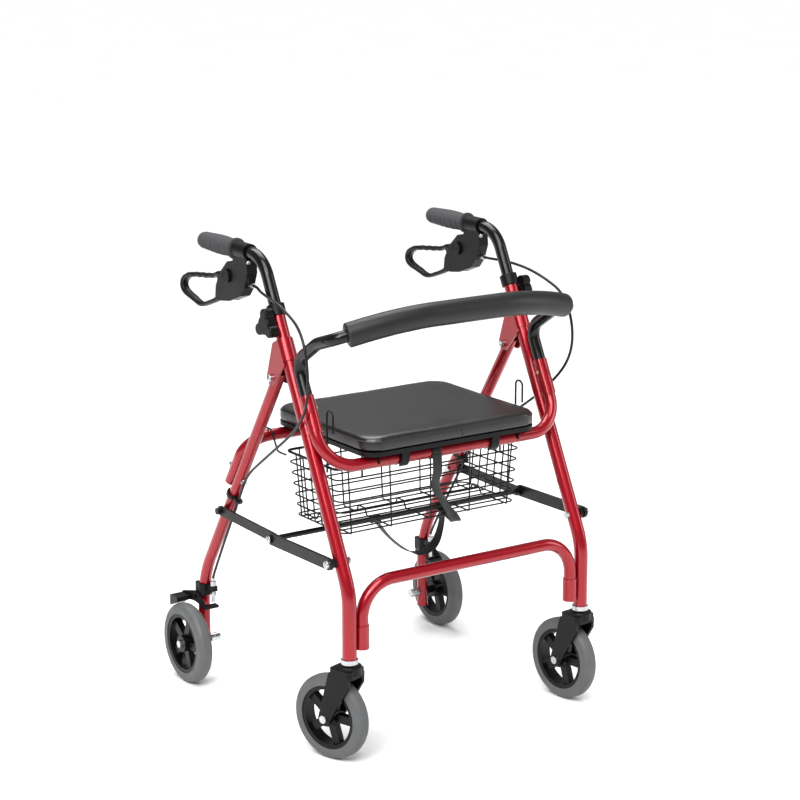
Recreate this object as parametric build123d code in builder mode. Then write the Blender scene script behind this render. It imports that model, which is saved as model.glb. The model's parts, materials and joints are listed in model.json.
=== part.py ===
from build123d import *
import os
from math import atan2, cos, degrees, hypot, radians, sin, tan

# Rollator walker: a folding, four-wheeled walking frame with a flip-up seat.
# +Z is up, the user walks toward -Y, and +X is the user's left.
# The origin is on the floor, midway between front and back and between the sides.

os.makedirs("parts", exist_ok=True)

SIDES = (("left", 1), ("right", -1))

# --- stance and tubes -------------------------------------------------------
TRACK_HALF = 252.0          # centre plane of the legs on each side
FRONT_FOOT_Y = -270.5       # upright lower run of the front legs
LEG_RAKE = 26.5             # lean of the front legs from the upright
KNEE_Z = 306.0              # height where the lean starts
KNEE_RADIUS = 120.0
LEG_FOOT_Z = 189.0
LEG_TOP_Z = 752.0
LEG_OD = 25.4
LEG_ID = 22.4
REAR_OD = 22.2
REAR_ID = 18.6
REAR_RAKE = 32.8            # lean of the rear legs from the upright
REAR_FOOT_Y = 235.0
REAR_FOOT_Z = 47.0
REAR_KNEE_RADIUS = 180.0
PIVOT_Z = 641.5             # height of the folding pivot
PIVOT_OFFSET = 54.0         # pivot behind the front leg, measured along Y
FIT = 0.1                   # running gap on a radius
GAP = 0.3                   # gap between pieces that only pass each other
WELD_GAP = 0.05             # gap between tubes that are welded side by side

# --- handles ----------------------------------------------------------------
HANDLE_OD = LEG_ID - 2 * FIT
HANDLE_ID = 18.6
HANDLE_Z = 848.0
HANDLE_TIP_Y = 203.0
HANDLE_ROOT_Z = 640.0
HANDLE_BEND = 60.0
GRIP_START_Y = 88.0
GRIP_LENGTH = 124.0
GRIP_OD = 33.0
COLLAR_LENGTH = 21.0
COLLAR_WALL = 3.4
KNOB_Z = 738.0
KNOB_RADIUS = 29.0
KNOB_THICKNESS = 17.0
SCREW_DIAMETER = 6.0
CLAMP_START_Y = 42.0
CLAMP_LENGTH = 42.0
HOUSING_HALF = 10.5
LEVER_HALF = 7.0
LEVER_PIVOT_Y = 105.5
LEVER_PIVOT_Z = 798.0
PIN_RADIUS = 3.0

# --- wheels -----------------------------------------------------------------
WHEEL_RADIUS = 76.0
TYRE_WIDTH = 28.0
TYRE_SHOULDER = 10.5
TYRE_INNER = 57.0
RIM_INNER = 50.0
HUB_RADIUS = 16.0
HUB_WIDTH = 30.0
SPOKE_COUNT = 5
SPOKE_WIDTH = 15.0
SPOKE_DEPTH = 13.0
AXLE_DIAMETER = 8.0
REAR_WHEEL_X = 289.0
CASTER_TRAIL = 40.0
CASTER_SWIVEL = {"left": 6.0, "right": 18.0}
CAP_TOP_Z = 178.0
STEM_DIAMETER = 12.0

# --- seat, basket and backrest ---------------------------------------------
BAR_OD = LEG_ID - 2 * FIT
BAR_ID = 18.6
BAR_Z = 507.0
BAR_BEND = 62.0
SOCKET_LOW_Z = 566.0
SOCKET_HIGH_Z = 625.0
SEAT_HALF = 187.0
SEAT_FRONT_Y = -232.0
SEAT_BACK_Y = 86.0
SEAT_CORNER = 34.0
SEAT_BOTTOM_Z = 522.5
BOARD_THICKNESS = 8.0
CUSHION_THICKNESS = 28.0
CLIP_X = 97.0
CLIP_WIDTH = 16.0
BASKET_TOP_HALF = 201.0
BASKET_LOW_HALF = 187.0
BASKET_TOP_Z = 488.0
BASKET_LOW_Z = 370.0
BASKET_FRONT_Y = -153.0
BASKET_BACK_Y = 9.0
RIM_WIRE = 5.0
WIRE = 3.0
BACK_TUBE_OD = BAR_OD
FOAM_OD = 43.0
BOW_FRONT_Y = -262.0
BOW_FRONT_Z = 771.0

# --- side braces ------------------------------------------------------------
BRACE_FRONT_Z = 356.0
BRACE_MIDDLE_Y = -56.0
BRACE_MIDDLE_Z = 352.5
BRACE_REAR_Z = 357.0
REAR_BRACE_X = 265.3
REAR_BRACE_THICK = 6.0
FRONT_BRACE_THICK = 7.0
REAR_BRACE_WIDTH = 18.0
FRONT_BRACE_WIDTH = 21.0
BOLT_DIAMETER = 6.0
ROD_DIAMETER = 10.0

# --- derived places -----------------------------------------------------------
RAKE = radians(LEG_RAKE)
REAR_TILT = radians(REAR_RAKE)
UP_LEG = Vector(0, sin(RAKE), cos(RAKE))
DOWN_REAR = Vector(0, sin(REAR_TILT), -cos(REAR_TILT))


def leg_y(z):
    """Y of a front leg's centre line at height z, above the knee."""
    return FRONT_FOOT_Y + (z - KNEE_Z) * tan(RAKE)


PIVOT_Y = leg_y(PIVOT_Z) + PIVOT_OFFSET
REAR_KNEE_Z = PIVOT_Z - (REAR_FOOT_Y - PIVOT_Y) / tan(REAR_TILT)


def rear_y(z):
    """Y of a rear leg's centre line at height z, above the knee."""
    return PIVOT_Y + (PIVOT_Z - z) * tan(REAR_TILT)


SOCKET_SHIFT = (LEG_OD + 2 * WELD_GAP) / cos(RAKE)
BRACE_FRONT = (leg_y(BRACE_FRONT_Z), BRACE_FRONT_Z)
BRACE_REAR = (rear_y(BRACE_REAR_Z), BRACE_REAR_Z)
BRACE_MIDDLE = (BRACE_MIDDLE_Y, BRACE_MIDDLE_Z)
FRONT_BRACE_X = REAR_BRACE_X + REAR_BRACE_THICK + GAP


def socket_y(z):
    """Y of the centre line of the tubes welded in front of the front legs."""
    return leg_y(z) - SOCKET_SHIFT


def x_plane(x, y, z):
    """Sketch plane at x that faces +X, with its own X axis along +Y."""
    return Plane(origin=(x, y, z), x_dir=(0, 1, 0), z_dir=(1, 0, 0))


def bent_tube(points, radii, outer, inner=0.0):
    """Round tube, or solid rod, along straight runs joined by tangent bends."""
    with BuildPart() as bent:
        with BuildLine() as route:
            FilletPolyline(*points, radius=radii)
        with BuildSketch(Plane(route.line @ 0, z_dir=route.line % 0)):
            Circle(outer / 2)
            if inner:
                Circle(inner / 2, mode=Mode.SUBTRACT)
        sweep(path=route.line)
    return bent.part


def straight_tube(start, end, outer, inner=0.0):
    """Straight round tube, or solid rod, from start to end."""
    run = Vector(*end) - Vector(*start)
    with BuildPart() as straight:
        with BuildSketch(Plane(start, z_dir=run)):
            Circle(outer / 2)
            if inner:
                Circle(inner / 2, mode=Mode.SUBTRACT)
        extrude(amount=run.length)
    return straight.part


def bar_link(x_low, thick, width, start, end, bores):
    """Flat bar with round ends in a plane across X, pierced at both ends."""
    length = hypot(end[0] - start[0], end[1] - start[1])
    angle = degrees(atan2(end[1] - start[1], end[0] - start[0]))
    middle = ((start[0] + end[0]) / 2, (start[1] + end[1]) / 2)
    with BuildPart() as link:
        with BuildSketch(x_plane(x_low, middle[0], middle[1])):
            SlotCenterToCenter(length, width, rotation=angle)
        extrude(amount=thick)
        chamfer(link.edges().group_by(Axis.X)[-1], 1.0)
        for place, bore in zip((start, end), bores):
            with BuildSketch(x_plane(x_low - 1, place[0], place[1])):
                Circle(bore)
            extrude(amount=thick + 2, mode=Mode.SUBTRACT)
    return link.part


def save(part, label):
    """Label one finished piece and write it to its own STEP file."""
    part.label = label
    export_step(part, f"parts/{label}.step")


# --- front frame --------------------------------------------------------------
HANDLE_CORNER_Y = leg_y(HANDLE_Z)
KNOB_Y = leg_y(KNOB_Z)

for name, s in SIDES:
    x = s * TRACK_HALF
    leg_route = ((x, FRONT_FOOT_Y, LEG_FOOT_Z), (x, FRONT_FOOT_Y, KNEE_Z),
                 (x, leg_y(LEG_TOP_Z), LEG_TOP_Z))
    leg_tube = bent_tube(leg_route, KNEE_RADIUS, LEG_OD, LEG_ID)
    with BuildPart() as front_leg:
        add(leg_tube)
        # threaded hole for the height knob, in the outer wall only
        with BuildSketch(x_plane(s * TRACK_HALF, KNOB_Y, KNOB_Z)):
            Circle(SCREW_DIAMETER / 2 + FIT)
        extrude(amount=s * LEG_OD, mode=Mode.SUBTRACT)
        # cross hole for the front brace bolt
        with BuildSketch(x_plane(x - LEG_OD, *BRACE_FRONT)):
            Circle(BOLT_DIAMETER / 2 + FIT)
        extrude(amount=2 * LEG_OD, mode=Mode.SUBTRACT)
    save(front_leg.part, f"front_leg_{name}")

# arch between the feet of the front legs
ARCH_X = TRACK_HALF - LEG_OD - 2 * WELD_GAP
ARCH_LOW_Z = 203.0
ARCH_SOCKET_TOP_Z = 245.0
ARCH_TOP_Z = 318.0
ARCH_BEND = 62.0
arch_route = ((-ARCH_X, FRONT_FOOT_Y, ARCH_LOW_Z + 3), (-ARCH_X, FRONT_FOOT_Y, ARCH_TOP_Z),
              (ARCH_X, FRONT_FOOT_Y, ARCH_TOP_Z), (ARCH_X, FRONT_FOOT_Y, ARCH_LOW_Z + 3))
with BuildPart() as front_arch:
    add(bent_tube(arch_route, ARCH_BEND, BAR_OD, BAR_ID))
save(front_arch.part, "front_arch")

# bar under the front of the seat, and the sockets that carry it and the backrest
bar_y = socket_y(BAR_Z)
BAR_TOP_Z = SOCKET_LOW_Z + 26.0
bar_route = ((-TRACK_HALF, socket_y(BAR_TOP_Z), BAR_TOP_Z), (-TRACK_HALF, bar_y, BAR_Z),
             (TRACK_HALF, bar_y, BAR_Z), (TRACK_HALF, socket_y(BAR_TOP_Z), BAR_TOP_Z))
with BuildPart() as seat_front_bar:
    add(bent_tube(bar_route, BAR_BEND, BAR_OD, BAR_ID))
save(seat_front_bar.part, "seat_front_bar")

BUTTON_Z = (SOCKET_HIGH_Z + BAR_TOP_Z) / 2 - 4.0
BUTTON_RADIUS = 3.2
with BuildPart() as tube_sockets:
    for name, s in SIDES:
        x = s * TRACK_HALF
        add(straight_tube((s * ARCH_X, FRONT_FOOT_Y, ARCH_LOW_Z),
                          (s * ARCH_X, FRONT_FOOT_Y, ARCH_SOCKET_TOP_Z), LEG_OD, LEG_ID))
        add(straight_tube((x, socket_y(SOCKET_LOW_Z), SOCKET_LOW_Z),
                          (x, socket_y(SOCKET_HIGH_Z), SOCKET_HIGH_Z), LEG_OD, LEG_ID))
    for name, s in SIDES:
        with BuildSketch(x_plane(s * TRACK_HALF, socket_y(BUTTON_Z), BUTTON_Z)):
            Circle(BUTTON_RADIUS + FIT)
        extrude(amount=-s * LEG_OD, mode=Mode.SUBTRACT)
save(tube_sockets.part, "tube_sockets")

# formed brackets that wrap the front legs and hold the folding pivot
BRACKET_TOP_Z = 712.0
BRACKET_LOW_Z = 676.0
BRACKET_WALL = 2.6
CHEEK_THICK = 3.0
CHEEK_INNER = LEG_OD / 2 + WELD_GAP
with BuildPart() as pivot_brackets:
    for name, s in SIDES:
        x = s * TRACK_HALF
        add(straight_tube((x, leg_y(BRACKET_LOW_Z), BRACKET_LOW_Z),
                          (x, leg_y(BRACKET_TOP_Z), BRACKET_TOP_Z),
                          2 * (CHEEK_INNER + BRACKET_WALL), 2 * CHEEK_INNER))
    for name, s in SIDES:
        for inner in (-CHEEK_INNER - CHEEK_THICK, CHEEK_INNER):
            with BuildSketch(x_plane(s * TRACK_HALF + inner, 0, 0)):
                with BuildLine():
                    Polyline((leg_y(BRACKET_TOP_Z) - 4, BRACKET_TOP_Z + 2),
                             (leg_y(BRACKET_TOP_Z) + 13, BRACKET_TOP_Z - 7),
                             (PIVOT_Y + 14, PIVOT_Z + 3),
                             (PIVOT_Y + 7, PIVOT_Z - 12),
                             (PIVOT_Y - 8, PIVOT_Z - 12),
                             (leg_y(BRACKET_LOW_Z) - 8, BRACKET_LOW_Z - 4), close=True)
                make_face()
            extrude(amount=CHEEK_THICK)
    for name, s in SIDES:
        with BuildSketch(x_plane(s * TRACK_HALF - 30, PIVOT_Y, PIVOT_Z)):
            Circle(BOLT_DIAMETER / 2 + FIT)
        extrude(amount=60, mode=Mode.SUBTRACT)
    for name, s in SIDES:
        with BuildSketch(Plane((s * TRACK_HALF, leg_y(600), 600), z_dir=UP_LEG)):
            Circle(CHEEK_INNER)
        extrude(amount=180, mode=Mode.SUBTRACT)
save(pivot_brackets.part, "pivot_brackets")

# spring buttons that lock the backrest into its sockets
for name, s in SIDES:
    outer = -s * (LEG_OD / 2 + 2.4)
    inner = -s * (BACK_TUBE_OD / 2 - 2.2)
    with BuildPart() as button:
        with BuildSketch(x_plane(s * TRACK_HALF + inner, socket_y(BUTTON_Z), BUTTON_Z)):
            Circle(BUTTON_RADIUS)
        extrude(amount=outer - inner)
        fillet(button.edges().sort_by(Axis.X)[0 if s > 0 else -1], 1.2)
    save(button.part, f"socket_button_{name}")

# --- backrest -----------------------------------------------------------------
BACK_ROOT_Z = BAR_TOP_Z + 2.0
BACK_CREST = (socket_y(681.5), 681.5)     # (y, z) where the tube turns forward
BACK_KNUCKLE = (-176.0, 723.0)
BOW_CORNER = (250.0, -229.0, 740.0)
BOW_BEND = 24.0
BOW_SHOULDER = (140.0, -263.0, 768.0)
BOW_RADIUS = 400.0


def mirrored(points):
    """Points of one side followed by their mirror images in reverse order."""
    return [(-p[0], p[1], p[2]) for p in points] + list(reversed(points))


back_route = mirrored([(TRACK_HALF, socket_y(BACK_ROOT_Z), BACK_ROOT_Z),
                       (TRACK_HALF, *BACK_CREST),
                       (TRACK_HALF, *BACK_KNUCKLE),
                       BOW_CORNER,
                       BOW_SHOULDER])
back_radii = [30, 60, BOW_BEND, BOW_RADIUS, BOW_RADIUS, BOW_BEND, 60, 30]
with BuildPart() as backrest_tube:
    add(bent_tube(back_route, back_radii, BACK_TUBE_OD, BAR_ID))
    for name, s in SIDES:
        with BuildSketch(x_plane(s * TRACK_HALF, socket_y(BUTTON_Z), BUTTON_Z)):
            Circle(BUTTON_RADIUS + FIT)
        extrude(amount=-s * LEG_OD, mode=Mode.SUBTRACT)
save(backrest_tube.part, "backrest_tube")

# foam sleeve on the bow, along the same curve as the tube
foam_start = Vector(*BOW_CORNER) + (Vector(*BOW_SHOULDER) - Vector(*BOW_CORNER)) * 0.17
foam_route = mirrored([(foam_start.X, foam_start.Y, foam_start.Z), BOW_SHOULDER])
foam_sleeve = bent_tube(foam_route, BOW_RADIUS, FOAM_OD, BACK_TUBE_OD + 2 * GAP)
with BuildPart() as backrest_foam:
    add(foam_sleeve)
    fillet(backrest_foam.edges().filter_by(GeomType.CIRCLE).filter_by(
        lambda e: e.radius > FOAM_OD / 2 - 1), 4.0)
save(backrest_foam.part, "backrest_foam")

# --- height adjustment ----------------------------------------------------------
with BuildPart() as leg_collars:
    for name, s in SIDES:
        start = (s * TRACK_HALF, leg_y(LEG_TOP_Z), LEG_TOP_Z)
        low = Vector(*start) - UP_LEG * 3.0
        with BuildSketch(Plane(low, z_dir=UP_LEG)):
            Circle(LEG_OD / 2 + COLLAR_WALL)
        extrude(amount=COLLAR_LENGTH)
    for name, s in SIDES:
        low = Vector(s * TRACK_HALF, leg_y(LEG_TOP_Z), LEG_TOP_Z)
        with BuildSketch(Plane(low - UP_LEG * 6.0, z_dir=UP_LEG)):
            Circle(HANDLE_OD / 2 + FIT)
        extrude(amount=2 * COLLAR_LENGTH, mode=Mode.SUBTRACT)
        with BuildSketch(Plane(low - UP_LEG * 6.0, z_dir=UP_LEG)):
            Circle(LEG_OD / 2 + WELD_GAP)
        extrude(amount=6.0 + WELD_GAP, mode=Mode.SUBTRACT)
    fillet(leg_collars.edges().filter_by(GeomType.CIRCLE).filter_by(
        lambda e: e.radius > LEG_OD / 2 + COLLAR_WALL - 0.5), 1.2)
save(leg_collars.part, "leg_collars")


def rod_x(radius, x_start, x_end, y, z, bore=0.0):
    """Round bar along X between two values of x, with an optional bore."""
    with BuildPart() as rod:
        with BuildSketch(x_plane(x_start, y, z)):
            Circle(radius)
            if bore:
                Circle(bore, mode=Mode.SUBTRACT)
        extrude(amount=x_end - x_start)
    return rod.part


KNOB_INNER_X = 270.0
for name, s in SIDES:
    screw_tip = TRACK_HALF + HANDLE_OD / 2 + WELD_GAP
    with BuildPart() as height_knob:
        with BuildSketch(x_plane(s * KNOB_INNER_X, KNOB_Y, KNOB_Z)):
            Circle(17)
            with PolarLocations(KNOB_RADIUS - 10.5, 3, start_angle=90):
                Circle(10.5)
        extrude(amount=s * KNOB_THICKNESS)
        fillet(height_knob.edges().group_by(Axis.X)[-1 if s > 0 else 0], 3.0)
        with BuildSketch(x_plane(s * (TRACK_HALF + LEG_OD / 2 + GAP), KNOB_Y, KNOB_Z)):
            Circle(10)
        extrude(amount=s * (KNOB_INNER_X - TRACK_HALF - LEG_OD / 2))
        with BuildSketch(x_plane(s * screw_tip, KNOB_Y, KNOB_Z)):
            Circle(SCREW_DIAMETER / 2)
        extrude(amount=s * 6.0)
    save(height_knob.part, f"height_knob_{name}")

# --- bolts and spacers of the front frame ------------------------------------------
BRACE_OUTER_X = FRONT_BRACE_X + FRONT_BRACE_THICK
HEAD_RADIUS = 6.2
CHEEK_OUTER = CHEEK_INNER + CHEEK_THICK
SPACER_START = TRACK_HALF + LEG_OD / 2 + WELD_GAP
with BuildPart() as front_bolts:
    for name, s in SIDES:
        x = s * TRACK_HALF
        # folding pivot
        add(rod_x(BOLT_DIAMETER / 2, x - CHEEK_OUTER - 4, x + CHEEK_OUTER + 4, PIVOT_Y, PIVOT_Z))
        for x_head in (x - CHEEK_OUTER - 4.2, x + CHEEK_OUTER + WELD_GAP):
            add(rod_x(HEAD_RADIUS, x_head, x_head + 4.15, PIVOT_Y, PIVOT_Z))
        # front end of the brace
        add(rod_x(BOLT_DIAMETER / 2, s * (TRACK_HALF - LEG_OD / 2 - 4), s * (BRACE_OUTER_X + 3),
                  *BRACE_FRONT))
        add(rod_x(HEAD_RADIUS, s * (TRACK_HALF - LEG_OD / 2 - 4.1),
                  s * (TRACK_HALF - LEG_OD / 2 - WELD_GAP), *BRACE_FRONT))
        add(rod_x(HEAD_RADIUS + 1, s * (BRACE_OUTER_X + GAP), s * (BRACE_OUTER_X + 4.3),
                  *BRACE_FRONT))
save(front_bolts.part, "front_bolts")

with BuildPart() as brace_spacers:
    for name, s in SIDES:
        add(rod_x(8.0, s * SPACER_START, s * (FRONT_BRACE_X - GAP), *BRACE_FRONT,
                  bore=BOLT_DIAMETER / 2 + WELD_GAP))
save(brace_spacers.part, "brace_spacers")

with BuildPart() as caster_bearings:
    for name, s in SIDES:
        low = Vector(s * TRACK_HALF, FRONT_FOOT_Y, 0)
        for radius, start_z, end_z in ((15.0, 181.0, LEG_FOOT_Z - WELD_GAP),
                                       (LEG_ID / 2 - WELD_GAP, LEG_FOOT_Z - 1.0, 236.0)):
            with BuildSketch(Plane(low + Vector(0, 0, start_z))):
                Circle(radius)
            extrude(amount=end_z - start_z)
    for name, s in SIDES:
        with BuildSketch(Plane((s * TRACK_HALF, FRONT_FOOT_Y, 170.0))):
            Circle(STEM_DIAMETER / 2 + FIT)
        extrude(amount=90.0, mode=Mode.SUBTRACT)
save(caster_bearings.part, "caster_bearings")

# --- handles ------------------------------------------------------------------------
HANDLE_CORNER_Y = leg_y(HANDLE_Z)
BARREL_Y = 32.0
BARREL_Z = 790.0
for name, s in SIDES:
    x = s * TRACK_HALF
    handle_route = ((x, leg_y(HANDLE_ROOT_Z), HANDLE_ROOT_Z), (x, HANDLE_CORNER_Y, HANDLE_Z),
                    (x, HANDLE_TIP_Y, HANDLE_Z))
    with BuildPart() as handle_tube:
        add(bent_tube(handle_route, HANDLE_BEND, HANDLE_OD, HANDLE_ID))
    save(handle_tube.part, f"handle_tube_{name}")

    # grip with a front flange, finger grooves and a closed end
    grip_end = GRIP_START_Y + GRIP_LENGTH
    with BuildPart() as grip:
        with BuildSketch(Plane(origin=(x, 0, HANDLE_Z), x_dir=(0, 1, 0), z_dir=(1, 0, 0))):
            with BuildLine():
                Polyline((grip_end, 0), (GRIP_START_Y, 0), (GRIP_START_Y, GRIP_OD / 2 + 3),
                         (GRIP_START_Y + 4, GRIP_OD / 2 + 3), (GRIP_START_Y + 8, GRIP_OD / 2 - 1))
                Spline((GRIP_START_Y + 8, GRIP_OD / 2 - 1),
                       (GRIP_START_Y + 42, GRIP_OD / 2 + 1.2),
                       (GRIP_START_Y + 92, GRIP_OD / 2 - 1.8),
                       (grip_end - 9, GRIP_OD / 2 + 0.8))
                Polyline((grip_end - 9, GRIP_OD / 2 + 0.8), (grip_end - 2, GRIP_OD / 2 - 1),
                         (grip_end, GRIP_OD / 2 - 5), (grip_end, 0))
            make_face()
        revolve(axis=Axis((x, 0, HANDLE_Z), (0, 1, 0)))
        with BuildSketch(Plane(origin=(x, GRIP_START_Y - 1, HANDLE_Z), z_dir=(0, 1, 0))):
            Circle(HANDLE_OD / 2 + WELD_GAP)
        extrude(amount=HANDLE_TIP_Y + GAP - GRIP_START_Y + 1, mode=Mode.SUBTRACT)
    save(grip.part, f"grip_{name}")

    # brake housing clamped round the handle tube, with a slot for the lever
    with BuildPart() as brake_housing:
        with BuildSketch(Plane(origin=(x, CLAMP_START_Y, HANDLE_Z), z_dir=(0, 1, 0))):
            Circle(HANDLE_OD / 2 + 4)
        extrude(amount=CLAMP_LENGTH)
        with BuildSketch(x_plane(x - HOUSING_HALF, 0, 0)) as housing_side:
            with BuildLine():
                Polyline((38, 838), (84, 838), (87, 827), (106, 824), (134, 799), (148, 774), (151, 750),
                         (128, 749), (100, 753), (62, 767), (47, 784), (36, 812), close=True)
            make_face()
            fillet(housing_side.vertices(), 4.0)
        extrude(amount=2 * HOUSING_HALF)
        # round bosses over the lever pivot
        with BuildSketch(x_plane(x - HOUSING_HALF - 2.5, LEVER_PIVOT_Y, LEVER_PIVOT_Z)):
            Circle(12)
        extrude(amount=2 * HOUSING_HALF + 5)
        with BuildSketch(x_plane(x - LEVER_HALF - GAP, 0, 0)):
            with BuildLine():
                Polyline((90, 700), (90, 814), (126, 814), (170, 810), (170, 700), close=True)
            make_face()
        extrude(amount=2 * (LEVER_HALF + GAP), mode=Mode.SUBTRACT)
        with BuildSketch(Plane(origin=(x, 20, HANDLE_Z), z_dir=(0, 1, 0))):
            Circle(HANDLE_OD / 2 + WELD_GAP)
        extrude(amount=90, mode=Mode.SUBTRACT)
        add(rod_x(PIN_RADIUS, x - HOUSING_HALF - 1, x + HOUSING_HALF + 1, LEVER_PIVOT_Y, LEVER_PIVOT_Z))
        with BuildSketch(Plane(origin=(x, BARREL_Y, BARREL_Z), z_dir=(0, 1, 0))):
            Circle(4.5 + WELD_GAP)
        extrude(amount=24 + WELD_GAP, mode=Mode.SUBTRACT)
        # cable adjuster, a loose barrel in its own bore
        with BuildSketch(Plane(origin=(x, BARREL_Y, BARREL_Z), z_dir=(0, 1, 0))):
            Circle(4.5)
        extrude(amount=24)
    save(brake_housing.part, f"brake_housing_{name}")

    # loop-shaped brake lever
    with BuildPart() as brake_lever:
        with BuildSketch(x_plane(x - LEVER_HALF, 0, 0)) as lever_side:
            with BuildLine():
                Polyline((LEVER_PIVOT_Y, LEVER_PIVOT_Z + 11), (120, 807), (138, 799), (205, 787.5),
                         (262, 780), (284, 768), (288, 752), (276, 739), (217, 723),
                         (152, 743), (118, 775), (LEVER_PIVOT_Y - 6, LEVER_PIVOT_Z - 9), close=True)
            make_face()
            with Locations((LEVER_PIVOT_Y, LEVER_PIVOT_Z)):
                Circle(11)
            with BuildLine():
                Polyline((150, 788.5), (205, 779), (257, 772.5), (276, 762), (280, 752),
                         (270, 745), (217, 731), (157, 750), (140, 768), close=True)
            make_face(mode=Mode.SUBTRACT)
            fillet(lever_side.vertices(), 3.0)
        extrude(amount=2 * LEVER_HALF)
        fillet(brake_lever.edges().group_by(Axis.X)[0] + brake_lever.edges().group_by(Axis.X)[-1], 1.5)
        with BuildSketch(x_plane(x - LEVER_HALF - 1, LEVER_PIVOT_Y, LEVER_PIVOT_Z)):
            Circle(PIN_RADIUS + FIT)
        extrude(amount=2 * LEVER_HALF + 2, mode=Mode.SUBTRACT)
    save(brake_lever.part, f"brake_lever_{name}")

# --- rear frame ---------------------------------------------------------------------
REAR_TOP = Vector(0, PIVOT_Y, PIVOT_Z) - DOWN_REAR * 13.0
REAR_BAR_Z = 505.5
REAR_BAR_LOW_Z = 413.0
REAR_BAR_SHIFT = (REAR_OD + 2 * WELD_GAP) / cos(REAR_TILT)
REAR_BAR_BEND = 46.0
REAR_BAR_Y = rear_y(REAR_BAR_Z) + REAR_BAR_SHIFT
SIDE_BOLT_Z = 428.0
BEHIND = Vector(0, cos(REAR_TILT), sin(REAR_TILT))


def rear_route(x):
    """Centre line of a rear leg from its top end to its foot."""
    return ((x, REAR_TOP.Y, REAR_TOP.Z), (x, REAR_FOOT_Y, REAR_KNEE_Z),
            (x, REAR_FOOT_Y, REAR_FOOT_Z))


for name, s in SIDES:
    x = s * TRACK_HALF
    with BuildPart() as rear_leg:
        add(bent_tube(rear_route(x), REAR_KNEE_RADIUS, REAR_OD, REAR_ID))
        for place, radius in (((PIVOT_Y, PIVOT_Z), BOLT_DIAMETER / 2 + FIT),
                              (BRACE_REAR, BOLT_DIAMETER / 2 + WELD_GAP),
                              ((REAR_FOOT_Y, WHEEL_RADIUS), AXLE_DIAMETER / 2 + WELD_GAP)):
            with BuildSketch(x_plane(x - REAR_OD, *place)):
                Circle(radius)
            extrude(amount=2 * REAR_OD, mode=Mode.SUBTRACT)
        bolt_start = Vector(x, rear_y(SIDE_BOLT_Z), SIDE_BOLT_Z) - BEHIND * 20
        with BuildSketch(Plane(bolt_start, z_dir=BEHIND)):
            Circle(BOLT_DIAMETER / 2 + WELD_GAP)
        extrude(amount=40, mode=Mode.SUBTRACT)
    save(rear_leg.part, f"rear_leg_{name}")

low_y = rear_y(REAR_BAR_LOW_Z) + REAR_BAR_SHIFT
rear_bar_route = ((-TRACK_HALF, low_y, REAR_BAR_LOW_Z), (-TRACK_HALF, REAR_BAR_Y, REAR_BAR_Z),
                  (TRACK_HALF, REAR_BAR_Y, REAR_BAR_Z), (TRACK_HALF, low_y, REAR_BAR_LOW_Z))
with BuildPart() as seat_rear_bar:
    add(bent_tube(rear_bar_route, REAR_BAR_BEND, REAR_OD, REAR_ID))
    for name, s in SIDES:
        bolt_start = Vector(s * TRACK_HALF, rear_y(SIDE_BOLT_Z), SIDE_BOLT_Z)
        with BuildSketch(Plane(bolt_start, z_dir=BEHIND)):
            Circle(BOLT_DIAMETER / 2 + WELD_GAP)
        extrude(amount=50, mode=Mode.SUBTRACT)
save(seat_rear_bar.part, "seat_rear_bar")

BEHIND_END = REAR_OD * 1.5 + 2 * WELD_GAP
with BuildPart() as rear_bolts:
    for name, s in SIDES:
        x = s * TRACK_HALF
        centre = Vector(x, rear_y(SIDE_BOLT_Z), SIDE_BOLT_Z)
        for radius, start, length in ((BOLT_DIAMETER / 2, -REAR_OD / 2 - 4, BEHIND_END + REAR_OD / 2 + 8),
                                      (HEAD_RADIUS, -REAR_OD / 2 - 4.1, 4.0),
                                      (HEAD_RADIUS, BEHIND_END + WELD_GAP, 4.2)):
            with BuildSketch(Plane(centre + BEHIND * start, z_dir=BEHIND)):
                Circle(radius)
            extrude(amount=length)
        add(rod_x(BOLT_DIAMETER / 2, s * (TRACK_HALF - REAR_OD / 2 - 3),
                  s * (TRACK_HALF + REAR_OD / 2 + 0.4), *BRACE_REAR))
        add(rod_x(HEAD_RADIUS, s * (TRACK_HALF - REAR_OD / 2 - 4),
                  s * (TRACK_HALF - REAR_OD / 2 - WELD_GAP), *BRACE_REAR))
save(rear_bolts.part, "rear_bolts")

# axles: a headed pin, a plain spacer and a dark cap on the inner side
HUB_INNER_X = REAR_WHEEL_X - HUB_WIDTH / 2
HUB_OUTER_X = REAR_WHEEL_X + HUB_WIDTH / 2
CAP_START = TRACK_HALF - REAR_OD / 2 - 19.0
with BuildPart() as rear_axles:
    for name, s in SIDES:
        add(rod_x(AXLE_DIAMETER / 2, s * (CAP_START + 2), s * (HUB_OUTER_X + 4),
                  REAR_FOOT_Y, WHEEL_RADIUS))
        with BuildSketch(x_plane(s * (HUB_OUTER_X + GAP), REAR_FOOT_Y, WHEEL_RADIUS)):
            RegularPolygon(7.4, 6)
        extrude(amount=s * 5.0)
        add(rod_x(7.0, s * (TRACK_HALF + REAR_OD / 2 + WELD_GAP), s * (HUB_INNER_X - GAP),
                  REAR_FOOT_Y, WHEEL_RADIUS, bore=AXLE_DIAMETER / 2 + WELD_GAP))
        with BuildSketch(x_plane(s * CAP_START, REAR_FOOT_Y, WHEEL_RADIUS)):
            Circle(8)
        extrude(amount=s * (19.0 - WELD_GAP))
        with BuildSketch(x_plane(s * (CAP_START + 2), REAR_FOOT_Y, WHEEL_RADIUS)):
            Circle(AXLE_DIAMETER / 2 + WELD_GAP)
            Circle(AXLE_DIAMETER / 2, mode=Mode.SUBTRACT)
        extrude(amount=s * 18.0, mode=Mode.SUBTRACT)
save(rear_axles.part, "rear_axles")

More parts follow.
